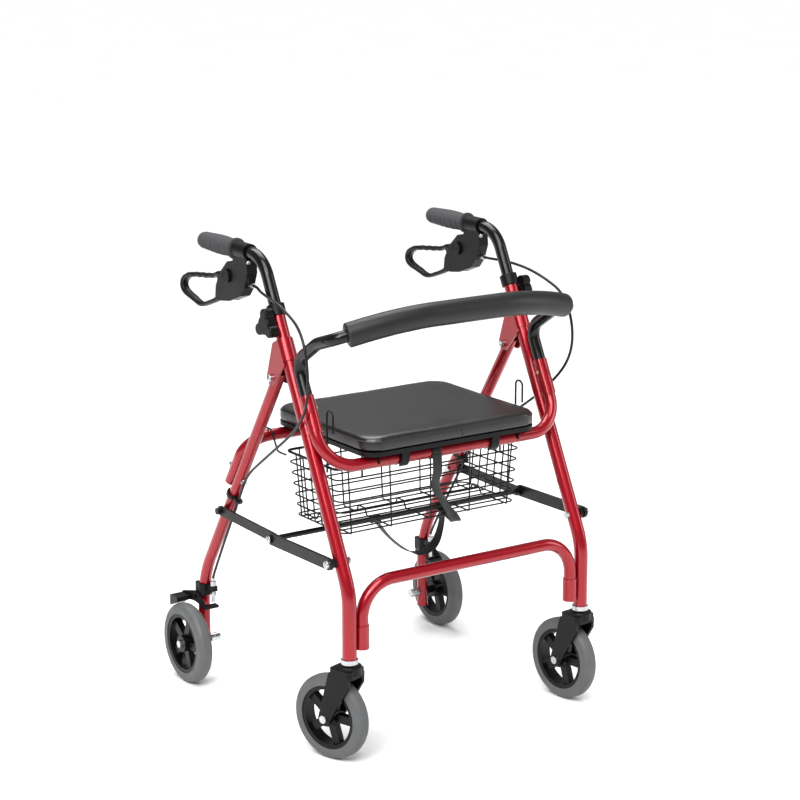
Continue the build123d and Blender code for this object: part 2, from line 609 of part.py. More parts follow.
# --- rear brakes ----------------------------------------------------------------------
BRACKET_LOW = 168.0
BRACKET_HIGH = 190.0
BARREL_X = 249.4
REAR_BARREL_Y = 203.0
ARM_PIVOT = (235.0, 166.0)
ARM_X = 268.0
ARM_THICK = 4.5
leg_solids = {name: bent_tube(rear_route(s * TRACK_HALF), REAR_KNEE_RADIUS, REAR_OD + 2 * WELD_GAP)
              for name, s in SIDES}
with BuildPart() as arm_brackets:
    for name, s in SIDES:
        with BuildSketch(Plane.XY.offset(BRACKET_LOW)) as bracket_plan:
            with Locations((s * TRACK_HALF, 233.0)):
                RectangleRounded(29.0, 30.0, 8.0)
        extrude(amount=BRACKET_HIGH - BRACKET_LOW)
        with BuildSketch(Plane.XY.offset(BRACKET_HIGH - 10)):
            with BuildLine():
                Polyline((s * BARREL_X - 7, 224), (s * BARREL_X - 5, REAR_BARREL_Y - 7),
                         (s * BARREL_X + 5, REAR_BARREL_Y - 7), (s * BARREL_X + 7, 224), close=True)
            make_face()
        extrude(amount=10)
        # ear that carries the brake arm
        with BuildSketch(x_plane(s * (TRACK_HALF + 10), *ARM_PIVOT)):
            Circle(8.5)
        extrude(amount=s * (ARM_X - GAP - TRACK_HALF - 10))
    add(leg_solids["left"], mode=Mode.SUBTRACT)
    add(leg_solids["right"], mode=Mode.SUBTRACT)
    for name, s in SIDES:
        with BuildSketch(Plane(origin=(s * BARREL_X, REAR_BARREL_Y, 150))):
            Circle(3.0 + WELD_GAP)
        extrude(amount=80, mode=Mode.SUBTRACT)
        add(rod_x(PIN_RADIUS, s * (ARM_X - 2), s * (ARM_X + ARM_THICK + 2), *ARM_PIVOT))
        add(rod_x(5.5, s * (ARM_X + ARM_THICK + GAP), s * (ARM_X + ARM_THICK + 3.3), *ARM_PIVOT))

BARREL_TOP_Z = 205.0
with BuildPart() as brake_adjusters:
    for name, s in SIDES:
        for radius, start, end in ((3.0, 158.0, BARREL_TOP_Z), (5.6, 171.0, 176.0),
                                   (5.6, BRACKET_HIGH + WELD_GAP, 199.0)):
            with BuildSketch(Plane(origin=(s * BARREL_X, REAR_BARREL_Y, start))):
                Circle(radius)
            extrude(amount=end - start)
save(brake_adjusters.part, "brake_adjusters")

SHOE_GAP = 3.0
for name, s in SIDES:
    with BuildPart() as brake_arm:
        with BuildSketch(x_plane(s * ARM_X, 0, 0)) as arm_side:
            with BuildLine():
                Polyline((196, 147), (196, 153), (226, 172), (242, 174), (284, 163),
                         (284, 138), (252, 150), (214, 147), close=True)
            make_face()
            fillet(arm_side.vertices(), 2.0)
            with Locations(ARM_PIVOT):
                Circle(PIN_RADIUS + FIT, mode=Mode.SUBTRACT)
        extrude(amount=s * ARM_THICK)
        # front tab for the brake wire
        with BuildSketch(x_plane(s * (BARREL_X - 7), 0, 0)):
            with Locations((203, 150)):
                Rectangle(14, 5)
        extrude(amount=s * (ARM_X - BARREL_X + 8))
        # shoe across the tread
        with BuildSketch(x_plane(s * (ARM_X + ARM_THICK - 1), 0, 0)):
            with Locations((268, 150)):
                RectangleRounded(28, 24, 3.0)
        extrude(amount=s * (HUB_OUTER_X - 3 - ARM_X - ARM_THICK))
        with BuildSketch(x_plane(s * (ARM_X - 1), REAR_FOOT_Y, WHEEL_RADIUS)):
            Circle(WHEEL_RADIUS + SHOE_GAP)
        extrude(amount=s * 40, mode=Mode.SUBTRACT)
    save(brake_arm.part, f"rear_brake_arm_{name}")

# --- side braces ------------------------------------------------------------------------
with BuildPart() as front_braces:
    for name, s in SIDES:
        low = FRONT_BRACE_X if s > 0 else -FRONT_BRACE_X - FRONT_BRACE_THICK
        add(bar_link(low, FRONT_BRACE_THICK, FRONT_BRACE_WIDTH, BRACE_FRONT, BRACE_MIDDLE,
                     (BOLT_DIAMETER / 2 + FIT, BOLT_DIAMETER / 2 + WELD_GAP)))
save(front_braces.part, "front_braces")

ROD_END = REAR_BRACE_X - GAP
with BuildPart() as brace_rod:
    add(rod_x(ROD_DIAMETER / 2, -ROD_END, ROD_END, *BRACE_MIDDLE))
    for name, s in SIDES:
        add(rod_x(BOLT_DIAMETER / 2, s * ROD_END, s * (BRACE_OUTER_X + 3), *BRACE_MIDDLE))
        add(rod_x(HEAD_RADIUS + 1, s * (BRACE_OUTER_X + WELD_GAP), s * (BRACE_OUTER_X + 4.2),
                  *BRACE_MIDDLE))
save(brace_rod.part, "brace_rod")

with BuildPart() as rear_braces:
    for name, s in SIDES:
        low = REAR_BRACE_X if s > 0 else -REAR_BRACE_X - REAR_BRACE_THICK
        add(bar_link(low, REAR_BRACE_THICK, REAR_BRACE_WIDTH, BRACE_MIDDLE, BRACE_REAR,
                     (BOLT_DIAMETER / 2 + FIT, BOLT_DIAMETER / 2 + WELD_GAP)))
        add(rod_x(BOLT_DIAMETER / 2, s * (REAR_BRACE_X - GAP), s * (REAR_BRACE_X + REAR_BRACE_THICK + 2),
                  *BRACE_REAR))
        add(rod_x(HEAD_RADIUS, s * (REAR_BRACE_X + REAR_BRACE_THICK - 0.1),
                  s * (REAR_BRACE_X + REAR_BRACE_THICK + 7), *BRACE_REAR))
save(rear_braces.part, "rear_braces")

# --- seat ---------------------------------------------------------------------------------
SEAT_Y = (SEAT_FRONT_Y + SEAT_BACK_Y) / 2
SEAT_LENGTH = SEAT_BACK_Y - SEAT_FRONT_Y
BOARD_TOP_Z = SEAT_BOTTOM_Z + BOARD_THICKNESS
CLIP_RADIUS = SEAT_BOTTOM_Z - BAR_Z + 1.0
with BuildPart() as seat_base:
    with BuildSketch(Plane.XY.offset(SEAT_BOTTOM_Z)):
        with Locations((0, SEAT_Y)):
            RectangleRounded(2 * SEAT_HALF - 6, SEAT_LENGTH - 6, SEAT_CORNER - 3)
    extrude(amount=BOARD_THICKNESS)
    for name, s in SIDES:
        with BuildSketch(x_plane(s * CLIP_X - CLIP_WIDTH / 2, bar_y, BAR_Z)):
            Circle(CLIP_RADIUS)
            with Locations((0, CLIP_RADIUS / 2)):
                Rectangle(2 * CLIP_RADIUS, CLIP_RADIUS)
            Circle(BAR_OD / 2 + FIT, mode=Mode.SUBTRACT)
            with Locations((0, -CLIP_RADIUS)):
                Rectangle(13, CLIP_RADIUS, mode=Mode.SUBTRACT)
        extrude(amount=CLIP_WIDTH)
        # rubber foot that rests on the rear bar
        with BuildSketch(Plane((s * 120, REAR_BAR_Y, SEAT_BOTTOM_Z + 1), z_dir=(0, 0, -1))):
            Circle(9)
        extrude(amount=SEAT_BOTTOM_Z - REAR_BAR_Z - REAR_OD / 2 - GAP + 1)
save(seat_base.part, "seat_base")

with BuildPart() as seat_cushion:
    with BuildSketch(Plane.XY.offset(BOARD_TOP_Z + WELD_GAP)):
        with Locations((0, SEAT_Y)):
            RectangleRounded(2 * SEAT_HALF, SEAT_LENGTH, SEAT_CORNER)
    extrude(amount=CUSHION_THICKNESS)
    fillet(seat_cushion.edges().group_by(Axis.Z)[-1], 9.0)
    fillet(seat_cushion.edges().group_by(Axis.Z)[0], 3.0)
save(seat_cushion.part, "seat_cushion")

# --- wheels ---------------------------------------------------------------------------------
def wheel_tyre(centre, axle):
    """Solid tyre with round shoulders about an axle direction."""
    plane = Plane(origin=centre, x_dir=(0, 0, 1), z_dir=Vector(0, 0, 1).cross(axle))
    with BuildPart() as tyre:
        with BuildSketch(plane) as section:
            with Locations(((TYRE_INNER + WHEEL_RADIUS) / 2, 0)):
                Rectangle(WHEEL_RADIUS - TYRE_INNER, TYRE_WIDTH)
            fillet(section.vertices().sort_by(Axis.X)[-2:], TYRE_SHOULDER)
        revolve(axis=Axis(centre, axle))
    return tyre.part


def wheel_hub(centre, axle):
    """Rim, boss and broad spokes about an axle direction, with a bore."""
    plane = Plane(origin=centre, x_dir=(0, 0, 1), z_dir=Vector(0, 0, 1).cross(axle))
    face = Plane(origin=centre, x_dir=(0, 0, 1), z_dir=axle)
    bore = AXLE_DIAMETER / 2 + FIT
    with BuildPart() as hub:
        with BuildSketch(plane):
            with Locations(((RIM_INNER + TYRE_INNER) / 2 - WELD_GAP / 2, 0)):
                Rectangle(TYRE_INNER - RIM_INNER - WELD_GAP, TYRE_WIDTH - 3)
            with Locations(((bore + HUB_RADIUS) / 2, 0)):
                Rectangle(HUB_RADIUS - bore, HUB_WIDTH)
        revolve(axis=Axis(centre, axle))
        with BuildSketch(face.offset(-SPOKE_DEPTH / 2)):
            with PolarLocations((HUB_RADIUS + RIM_INNER) / 2, SPOKE_COUNT, start_angle=90):
                Rectangle(RIM_INNER - HUB_RADIUS + 3, SPOKE_WIDTH)
        extrude(amount=SPOKE_DEPTH)
    return hub.part


for name, s in SIDES:
    centre = Vector(s * REAR_WHEEL_X, REAR_FOOT_Y, WHEEL_RADIUS)
    axle = Vector(1, 0, 0)
    save(wheel_tyre(centre, axle), f"rear_tyre_{name}")
    save(wheel_hub(centre, axle), f"rear_hub_{name}")

# casters: fork, headed axle and wheel, turned about the stem
ARM_GAP = 16.5
ARM_WALL = 6.0
for name, s in SIDES:
    turn = radians(CASTER_SWIVEL[name])
    across = Vector(cos(turn), sin(turn), 0)
    trail = Vector(-sin(turn), cos(turn), 0)
    stem = Vector(s * TRACK_HALF, FRONT_FOOT_Y, 0)
    centre = stem + trail * CASTER_TRAIL + Vector(0, 0, WHEEL_RADIUS)
    crown = Plane(origin=stem + Vector(0, 0, WHEEL_RADIUS * 2 + 5), x_dir=across, z_dir=(0, 0, 1))
    with BuildPart() as caster_fork:
        with BuildSketch(crown.offset(6)):
            Circle(21.5)
        extrude(amount=CAP_TOP_Z - WHEEL_RADIUS * 2 - 11)
        fillet(caster_fork.edges().group_by(Axis.Z)[-1], 3.0)
        with BuildSketch(crown):
            with Locations((0, 6)):
                RectangleRounded(2 * (ARM_GAP + ARM_WALL), 48, 9)
        extrude(amount=15)
        for inner in (-ARM_GAP - ARM_WALL, ARM_GAP):
            origin = stem + across * inner
            with BuildSketch(Plane(origin=origin, x_dir=trail, z_dir=across)):
                with BuildLine():
                    Polyline((-15, WHEEL_RADIUS * 2 + 12), (29, WHEEL_RADIUS * 2 + 12),
                             (CASTER_TRAIL + 12.5, WHEEL_RADIUS + 2), (CASTER_TRAIL - 12.3, WHEEL_RADIUS - 1),
                             (-14, WHEEL_RADIUS * 2 - 8), close=True)
                make_face()
                with Locations((CASTER_TRAIL, WHEEL_RADIUS)):
                    Circle(12.5)
                    Circle(AXLE_DIAMETER / 2 + WELD_GAP, mode=Mode.SUBTRACT)
            extrude(amount=ARM_WALL)
        with BuildSketch(Plane(stem + Vector(0, 0, CAP_TOP_Z - 1))):
            Circle(STEM_DIAMETER / 2)
        extrude(amount=60)
        # headed axle
        for radius, start, end in ((AXLE_DIAMETER / 2, -ARM_GAP - ARM_WALL - 2, ARM_GAP + ARM_WALL + 2),
                                   (7.0, ARM_GAP + ARM_WALL + WELD_GAP, ARM_GAP + ARM_WALL + 4),
                                   (7.0, -ARM_GAP - ARM_WALL - 4, -ARM_GAP - ARM_WALL - WELD_GAP)):
            with BuildSketch(Plane(origin=centre + across * start, z_dir=across)):
                Circle(radius)
            extrude(amount=end - start)
    save(caster_fork.part, f"caster_fork_{name}")
    save(wheel_tyre(centre, across), f"caster_tyre_{name}")
    save(wheel_hub(centre, across), f"caster_hub_{name}")

# --- wire basket --------------------------------------------------------------------------------
BASKET_CORNER = 14.0
RING_HEIGHTS = (BASKET_TOP_Z, 468.0, 448.0, 428.0, 408.0, 389.0, BASKET_LOW_Z)
FRONT_WIRES = (-170.0, -85.0, 0.0, 85.0, 170.0)
SIDE_BAYS = 7


def basket_half(z):
    """Half width of the basket at height z."""
    part = (z - BASKET_LOW_Z) / (BASKET_TOP_Z - BASKET_LOW_Z)
    return BASKET_LOW_HALF + part * (BASKET_TOP_HALF - BASKET_LOW_HALF)


def basket_back(z):
    """Y of the basket's rear wall at height z."""
    part = (z - BASKET_LOW_Z) / (BASKET_TOP_Z - BASKET_LOW_Z)
    return BASKET_BACK_Y - 5 + part * 9


def wire_size(z):
    """Diameter of the ring wire at height z."""
    return RIM_WIRE if z == BASKET_TOP_Z else WIRE


def end_wall(back):
    """Front or rear wall: rings with round corners, and upright wires."""
    toward = -1 if back else 1
    with BuildPart() as wall:
        for z in RING_HEIGHTS:
            half = basket_half(z)
            edge = basket_back(z) if back else BASKET_FRONT_Y
            inner = edge + toward * BASKET_CORNER
            add(bent_tube(((-half, inner, z), (-half, edge, z), (half, edge, z), (half, inner, z)),
                          BASKET_CORNER - 1, wire_size(z)))
        for x in FRONT_WIRES:
            low = basket_back(BASKET_LOW_Z) if back else BASKET_FRONT_Y
            high = basket_back(BASKET_TOP_Z) if back else BASKET_FRONT_Y
            shift = toward * (WIRE - 0.4)
            add(straight_tube((x, low + toward * 0.6, BASKET_LOW_Z + 0.3), (x * 1.03, high + shift, BASKET_TOP_Z),
                              WIRE - 0.1))
    return wall.part


with BuildPart() as basket_ends:
    add(end_wall(False))
    add(end_wall(True))
save(basket_ends.part, "basket_ends")

with BuildPart() as basket_sides:
    for name, s in SIDES:
        for z in RING_HEIGHTS:
            x = s * basket_half(z)
            add(straight_tube((x, BASKET_FRONT_Y + BASKET_CORNER, z),
                              (x, basket_back(z) - BASKET_CORNER, z), wire_size(z)))
        for bay in range(1, SIDE_BAYS):
            y = BASKET_FRONT_Y + bay * (BASKET_BACK_Y - 2 - BASKET_FRONT_Y) / SIDE_BAYS
            add(straight_tube((s * (BASKET_LOW_HALF + 0.6), y, BASKET_LOW_Z + 0.3),
                              (s * (BASKET_TOP_HALF - WIRE + 0.4), y, BASKET_TOP_Z), WIRE - 0.1))
save(basket_sides.part, "basket_sides")

FLOOR_END = BASKET_LOW_HALF - WIRE / 2 - WELD_GAP
with BuildPart() as basket_floor:
    for bay in range(1, SIDE_BAYS):
        y = BASKET_FRONT_Y + bay * (BASKET_BACK_Y - 2 - BASKET_FRONT_Y) / SIDE_BAYS
        add(straight_tube((-FLOOR_END, y, BASKET_LOW_Z), (FLOOR_END, y, BASKET_LOW_Z), WIRE))
    for x in FRONT_WIRES:
        start = BASKET_FRONT_Y + WIRE / 2 + WELD_GAP
        end = basket_back(BASKET_LOW_Z) - WIRE / 2 - WELD_GAP
        z = BASKET_LOW_Z - WIRE + 0.4
        middle = BRACE_MIDDLE_Y
        add(bent_tube(((x, start, z), (x, middle - 17, z), (x, middle - 10, z + 13),
                       (x, middle + 10, z + 13), (x, middle + 17, z), (x, end, z)), 4.0, WIRE))
save(basket_floor.part, "basket_floor")

HOOK_WIRE = 3.6
HOOK_REACH = BAR_OD / 2 + GAP + HOOK_WIRE / 2
HOOK_TIP_Z = 505.0           # short enough to clear the flipped-up seat while the basket tilts
UPRIGHT_X = BASKET_TOP_HALF + RIM_WIRE / 2 + HOOK_WIRE / 2 - 0.3
hook_front = BASKET_FRONT_Y - RIM_WIRE / 2 - HOOK_WIRE / 2 + 0.3
with BuildPart() as basket_hooks:
    for name, s in SIDES:
        x = s * UPRIGHT_X
        add(bent_tube(((x, -130, 480), (x, -130, 592), (x, -150, 592), (x, -150, 553)), 9.0, HOOK_WIRE))
        x = s * 150
        add(bent_tube(((x, hook_front, 470), (x, hook_front, BAR_Z + HOOK_REACH),
                       (x, bar_y - HOOK_REACH, BAR_Z + HOOK_REACH), (x, bar_y - HOOK_REACH, HOOK_TIP_Z)),
                      [9.0, HOOK_REACH - 0.2], HOOK_WIRE))
save(basket_hooks.part, "basket_hooks")

# wire rests on the rear bar, one beside each end of the basket
REST_X = 208.5
REST_REACH = REAR_OD / 2 + 0.9 + HOOK_WIRE / 2
with BuildPart() as basket_rests:
    for name, s in SIDES:
        x = s * REST_X
        add(bent_tube(((x, 2, 483), (x, 30, 483), (x, REAR_BAR_Y - REST_REACH, REAR_BAR_Z + REST_REACH),
                       (x, REAR_BAR_Y + REST_REACH, REAR_BAR_Z + REST_REACH),
                       (x, REAR_BAR_Y + REST_REACH, 489)), [12.0, 10.0, 12.0], HOOK_WIRE))
save(basket_rests.part, "basket_rests")

# --- brake cables -----------------------------------------------------------------------------------
CABLE = 5.0
CLIP_SHIFT = 14.0            # how far each cable clip's plate reaches behind the leg


def cord(points, diameter):
    """Round cord along straight runs, with each bend as wide as its runs allow."""
    radii = []
    for before, here, after in zip(points, points[1:], points[2:]):
        arriving = Vector(*here) - Vector(*before)
        leaving = Vector(*after) - Vector(*here)
        half_turn = radians(arriving.get_angle(leaving)) / 2
        radii.append(0.45 * min(arriving.length, leaving.length) / tan(half_turn))
    print("bend radii", [round(r, 1) for r in radii])
    return bent_tube(points, radii, diameter)


UPPER_ROUTE = ((252, BARREL_Y - WELD_GAP, BARREL_Z), (253, 18, BARREL_Z), (270.5, -25, 788), (276, -98, 779),
               (283, -185, 745), (283.5, -193.5, 690))
LOWER_ROUTE = ((256, 70, 421), (BARREL_X, REAR_BARREL_Y, 213), (BARREL_X, REAR_BARREL_Y, BARREL_TOP_Z + WELD_GAP))
# the middle run arrives in line with the lower run and ends face to face with it
cable_rise = (Vector(*LOWER_ROUTE[0]) - Vector(*LOWER_ROUTE[1])).normalized()
MIDDLE_ROUTE = ((283.5, -193.5, 690), (283.9, -200.3, 646), (270, -150, 576), (266, -20, 489),
                tuple(Vector(*LOWER_ROUTE[0]) + cable_rise * 24),
                tuple(Vector(*LOWER_ROUTE[0]) + cable_rise * WELD_GAP))
for name, s in SIDES:
    save(cord([(s * p[0], p[1], p[2]) for p in UPPER_ROUTE], CABLE), f"brake_cable_upper_{name}")
middle_cords = [cord([(s * p[0], p[1], p[2]) for p in MIDDLE_ROUTE], CABLE) for name, s in SIDES]
with BuildPart() as cables_middle:
    add(middle_cords)
save(cables_middle.part, "brake_cables_middle")
lower_cords = [cord([(s * p[0], p[1], p[2]) for p in LOWER_ROUTE], CABLE) for name, s in SIDES]
with BuildPart() as cables_lower:
    add(lower_cords)
save(cables_lower.part, "brake_cables_lower")

# brackets of the brakes, with the clips that hold the cables to the rear legs
with BuildPart() as bracket_set:
    for name, s in SIDES:
        start = Vector(s * 254, rear_y(395), 395)
        with BuildSketch(Plane(origin=start, x_dir=(1, 0, 0), z_dir=DOWN_REAR)):
            Circle(REAR_OD / 2 + 2.5)
            with Locations((0, CLIP_SHIFT)):
                Rectangle(13, 20)
        extrude(amount=7)
    for name, s in SIDES:
        top = Vector(s * TRACK_HALF, rear_y(415), 415)
        with BuildSketch(Plane(origin=top, z_dir=DOWN_REAR)):
            Circle(REAR_OD / 2 + WELD_GAP)
        extrude(amount=50, mode=Mode.SUBTRACT)
    add(cables_lower.part, mode=Mode.SUBTRACT)
    add(arm_brackets.part)
save(bracket_set.part, "brake_brackets")

# --- fold-up strap ---------------------------------------------------------------------------------------
STRAP_WIDTH = 20.0
STRAP_THICK = 1.6


def ribbon(points, radii, across):
    """Flat strap along a route; its width lies along the direction given."""
    with BuildPart() as strip:
        with BuildLine() as route:
            FilletPolyline(*points, radius=radii)
        with BuildSketch(Plane(route.line @ 0, x_dir=across, z_dir=route.line % 0)):
            Rectangle(STRAP_WIDTH, STRAP_THICK)
        sweep(path=route.line)
    return strip.part


rod_under = BRACE_MIDDLE_Z - ROD_DIAMETER / 2 - 1.2
with BuildPart() as pull_strap:
    add(rod_x(BAR_OD / 2 + GAP + STRAP_THICK, -38, -18, bar_y, BAR_Z, bore=BAR_OD / 2 + GAP))
    for x in (-56, 93):
        add(rod_x(ROD_DIAMETER / 2 + 2, x - STRAP_WIDTH / 2, x + STRAP_WIDTH / 2, *BRACE_MIDDLE,
                  bore=ROD_DIAMETER / 2 + WELD_GAP))
    add(ribbon(((-28, bar_y - BAR_OD / 2 - GAP - STRAP_THICK / 2, BAR_Z), (-28, bar_y - 12.2, 478),
                (-18, bar_y + 6, 436), (46, -167, 358), (92, -64, rod_under)), [30, 40, 20], (1, 0, 0)))
    add(ribbon(((93, BRACE_MIDDLE_Y, rod_under), (58, BRACE_MIDDLE_Y, 274), (24, BRACE_MIDDLE_Y, 274),
                (-56, BRACE_MIDDLE_Y, rod_under)), [16, 16], (0, 1, 0)))
save(pull_strap.part, "pull_strap")
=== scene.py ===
"""Looks of the rollator walker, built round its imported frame.

Each sub-assembly is a class that holds its sizes in metres and builds or dresses
its own pieces. Each finish is a frozen dataclass that builds one material.
"""

import json
import logging
import math
from dataclasses import dataclass, field
from enum import Enum

import bpy
from mathutils import Matrix, Vector, noise


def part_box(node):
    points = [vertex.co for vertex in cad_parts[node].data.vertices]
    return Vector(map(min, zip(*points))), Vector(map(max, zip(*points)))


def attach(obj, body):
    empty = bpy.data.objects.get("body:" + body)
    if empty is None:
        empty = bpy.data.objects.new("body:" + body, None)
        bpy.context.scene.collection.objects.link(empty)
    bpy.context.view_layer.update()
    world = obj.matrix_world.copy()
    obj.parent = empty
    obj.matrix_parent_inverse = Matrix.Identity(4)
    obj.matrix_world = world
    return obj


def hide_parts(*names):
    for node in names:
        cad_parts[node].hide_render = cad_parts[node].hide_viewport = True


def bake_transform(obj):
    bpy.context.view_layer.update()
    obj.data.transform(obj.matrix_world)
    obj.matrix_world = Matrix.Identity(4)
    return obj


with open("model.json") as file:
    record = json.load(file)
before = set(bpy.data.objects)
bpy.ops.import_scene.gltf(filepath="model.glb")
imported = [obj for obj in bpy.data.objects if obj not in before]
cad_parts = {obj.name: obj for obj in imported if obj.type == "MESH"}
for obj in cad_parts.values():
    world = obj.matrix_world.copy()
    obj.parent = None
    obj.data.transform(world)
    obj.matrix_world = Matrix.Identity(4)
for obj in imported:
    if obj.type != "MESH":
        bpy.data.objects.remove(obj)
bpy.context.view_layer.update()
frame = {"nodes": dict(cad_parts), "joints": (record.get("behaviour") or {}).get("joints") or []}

log = logging.getLogger("walker")
MM = 0.001
SIDES = (("left", 1.0), ("right", -1.0))
NodeSettings = dict[str, object]


# --- finishes -------------------------------------------------------------------


def linear(code: str) -> tuple[float, float, float, float]:
    """Turn an sRGB hex colour into a linear colour.

    Args:
        code: Six hex digits, such as "7A1020".

    Returns:
        Linear red, green, blue and an alpha of 1.
    """
    parts = [int(code[i:i + 2], 16) / 255 for i in (0, 2, 4)]
    r, g, b = (c / 12.92 if c <= 0.04045 else ((c + 0.055) / 1.055) ** 2.4 for c in parts)
    return (r, g, b, 1.0)


def add_node(tree: bpy.types.NodeTree, kind: str, settings: NodeSettings | None = None,
             values: NodeSettings | None = None, links: NodeSettings | None = None) -> bpy.types.Node:
    """Add one shader node with its settings, socket values and incoming links.

    Args:
        tree: The node tree to add to.
        kind: Blender's node type name.
        settings: Attributes of the node.
        values: Socket name or index to a constant.
        links: Socket name or index to an output socket.

    Returns:
        The new node.
    """
    node = tree.nodes.new(kind)
    for key, value in (settings or {}).items():
        setattr(node, key, value)
    for key, value in (values or {}).items():
        node.inputs[key].default_value = value
    for key, socket in (links or {}).items():
        tree.links.new(socket, node.inputs[key])
    return node


@dataclass(frozen=True)
class Finish:
    """One real finish: a base colour with slow variation, and a fine surface pattern."""

    name: str
    colour: str
    shade: str                    # darker or duller colour that the variation mixes in
    metallic: float = 0.0
    roughness: float = 0.5
    roughness_spread: float = 0.06
    patch_mm: float = 60.0        # size of the slow colour patches
    patch_mix: float = 0.25
    grain_mm: float = 0.8         # size of the fine surface grain
    grain_depth_mm: float = 0.02
    coat: float = 0.0
    coat_roughness: float = 0.08
    sheen: float = 0.0
    specular: float = 0.5

    def pattern(self, tree: bpy.types.NodeTree, coords: bpy.types.NodeSocket) -> bpy.types.NodeSocket:
        """Height pattern of the surface, from 0 to 1; a fine noise here.

        Args:
            tree: Material node tree.
            coords: Object coordinates in metres.

        Returns:
            The socket that carries the height.
        """
        grain = add_node(tree, "ShaderNodeTexNoise", None,
                         {"Scale": 1000.0 / self.grain_mm, "Detail": 3.0, "Roughness": 0.6},
                         {"Vector": coords})
        return grain.outputs["Fac"]

    def build(self) -> bpy.types.Material:
        """Build the material.

        Returns:
            A node material named for the finish.
        """
        material = bpy.data.materials.new(self.name)
        material.use_nodes = True
        tree = material.node_tree
        tree.nodes.clear()
        place = add_node(tree, "ShaderNodeTexCoord").outputs["Object"]
        patches = add_node(tree, "ShaderNodeTexNoise", None,
                           {"Scale": 1000.0 / self.patch_mm, "Detail": 4.0, "Roughness": 0.55},
                           {"Vector": place})
        amount = add_node(tree, "ShaderNodeMath", {"operation": "MULTIPLY"}, {1: self.patch_mix},
                          {0: patches.outputs["Fac"]})
        tone = add_node(tree, "ShaderNodeMix", {"data_type": "RGBA"},
                        {"A": linear(self.colour), "B": linear(self.shade)},
                        {"Factor": amount.outputs[0]})
        height = self.pattern(tree, place)
        worn = add_node(tree, "ShaderNodeMapRange", None,
                        {"From Min": 0.3, "From Max": 0.7,
                         "To Min": max(0.02, self.roughness - self.roughness_spread),
                         "To Max": min(1.0, self.roughness + self.roughness_spread)},
                        {"Value": patches.outputs["Fac"]})
        bump = add_node(tree, "ShaderNodeBump", None,
                        {"Strength": 1.0, "Distance": self.grain_depth_mm * MM}, {"Height": height})
        shader = add_node(tree, "ShaderNodeBsdfPrincipled", None,
                          {"Metallic": self.metallic, "Coat Weight": self.coat,
                           "Coat Roughness": self.coat_roughness, "Sheen Weight": self.sheen,
                           "Specular IOR Level": self.specular},
                          {"Base Color": tone.outputs["Result"], "Roughness": worn.outputs["Result"],
                           "Normal": bump.outputs["Normal"]})
        out = add_node(tree, "ShaderNodeOutputMaterial")
        tree.links.new(shader.outputs[0], out.inputs["Surface"])
        return material


@dataclass(frozen=True)
class WovenFinish(Finish):
    """Cloth or webbing: crossing threads with a round top."""

    thread_mm: float = 1.0

    def pattern(self, tree: bpy.types.NodeTree, coords: bpy.types.NodeSocket) -> bpy.types.NodeSocket:
        """Crossed waves at the thread spacing, softened with a little noise.

        Args:
            tree: Material node tree.
            coords: Object coordinates in metres.

        Returns:
            The socket that carries the height.
        """
        waves = []
        for direction in ("X", "Y"):
            wave = add_node(tree, "ShaderNodeTexWave", {"bands_direction": direction},
                            {"Scale": 1000.0 / self.thread_mm / 20.0 * math.pi,
                             "Distortion": 0.4, "Detail": 1.0}, {"Vector": coords})
            waves.append(wave.outputs["Fac"])
        weave = add_node(tree, "ShaderNodeMath", {"operation": "MAXIMUM"}, None,
                         {0: waves[0], 1: waves[1]})
        return weave.outputs[0]


@dataclass(frozen=True)
class CellFinish(Finish):
    """Leather grain, foam skin or sprayed texture: rounded cells."""

    def pattern(self, tree: bpy.types.NodeTree, coords: bpy.types.NodeSocket) -> bpy.types.NodeSocket:
        """Rounded cells at the grain size, over a slower noise.

        Args:
            tree: Material node tree.
            coords: Object coordinates in metres.

        Returns:
            The socket that carries the height.
        """
        cells = add_node(tree, "ShaderNodeTexVoronoi", {"feature": "SMOOTH_F1"},
                         {"Scale": 1000.0 / self.grain_mm, "Smoothness": 0.6}, {"Vector": coords})
        slow = add_node(tree, "ShaderNodeTexNoise", None,
                        {"Scale": 220.0 / self.grain_mm, "Detail": 2.0}, {"Vector": coords})
        both = add_node(tree, "ShaderNodeMath", {"operation": "ADD"}, None,
                        {0: cells.outputs["Distance"], 1: slow.outputs["Fac"]})
        return both.outputs[0]


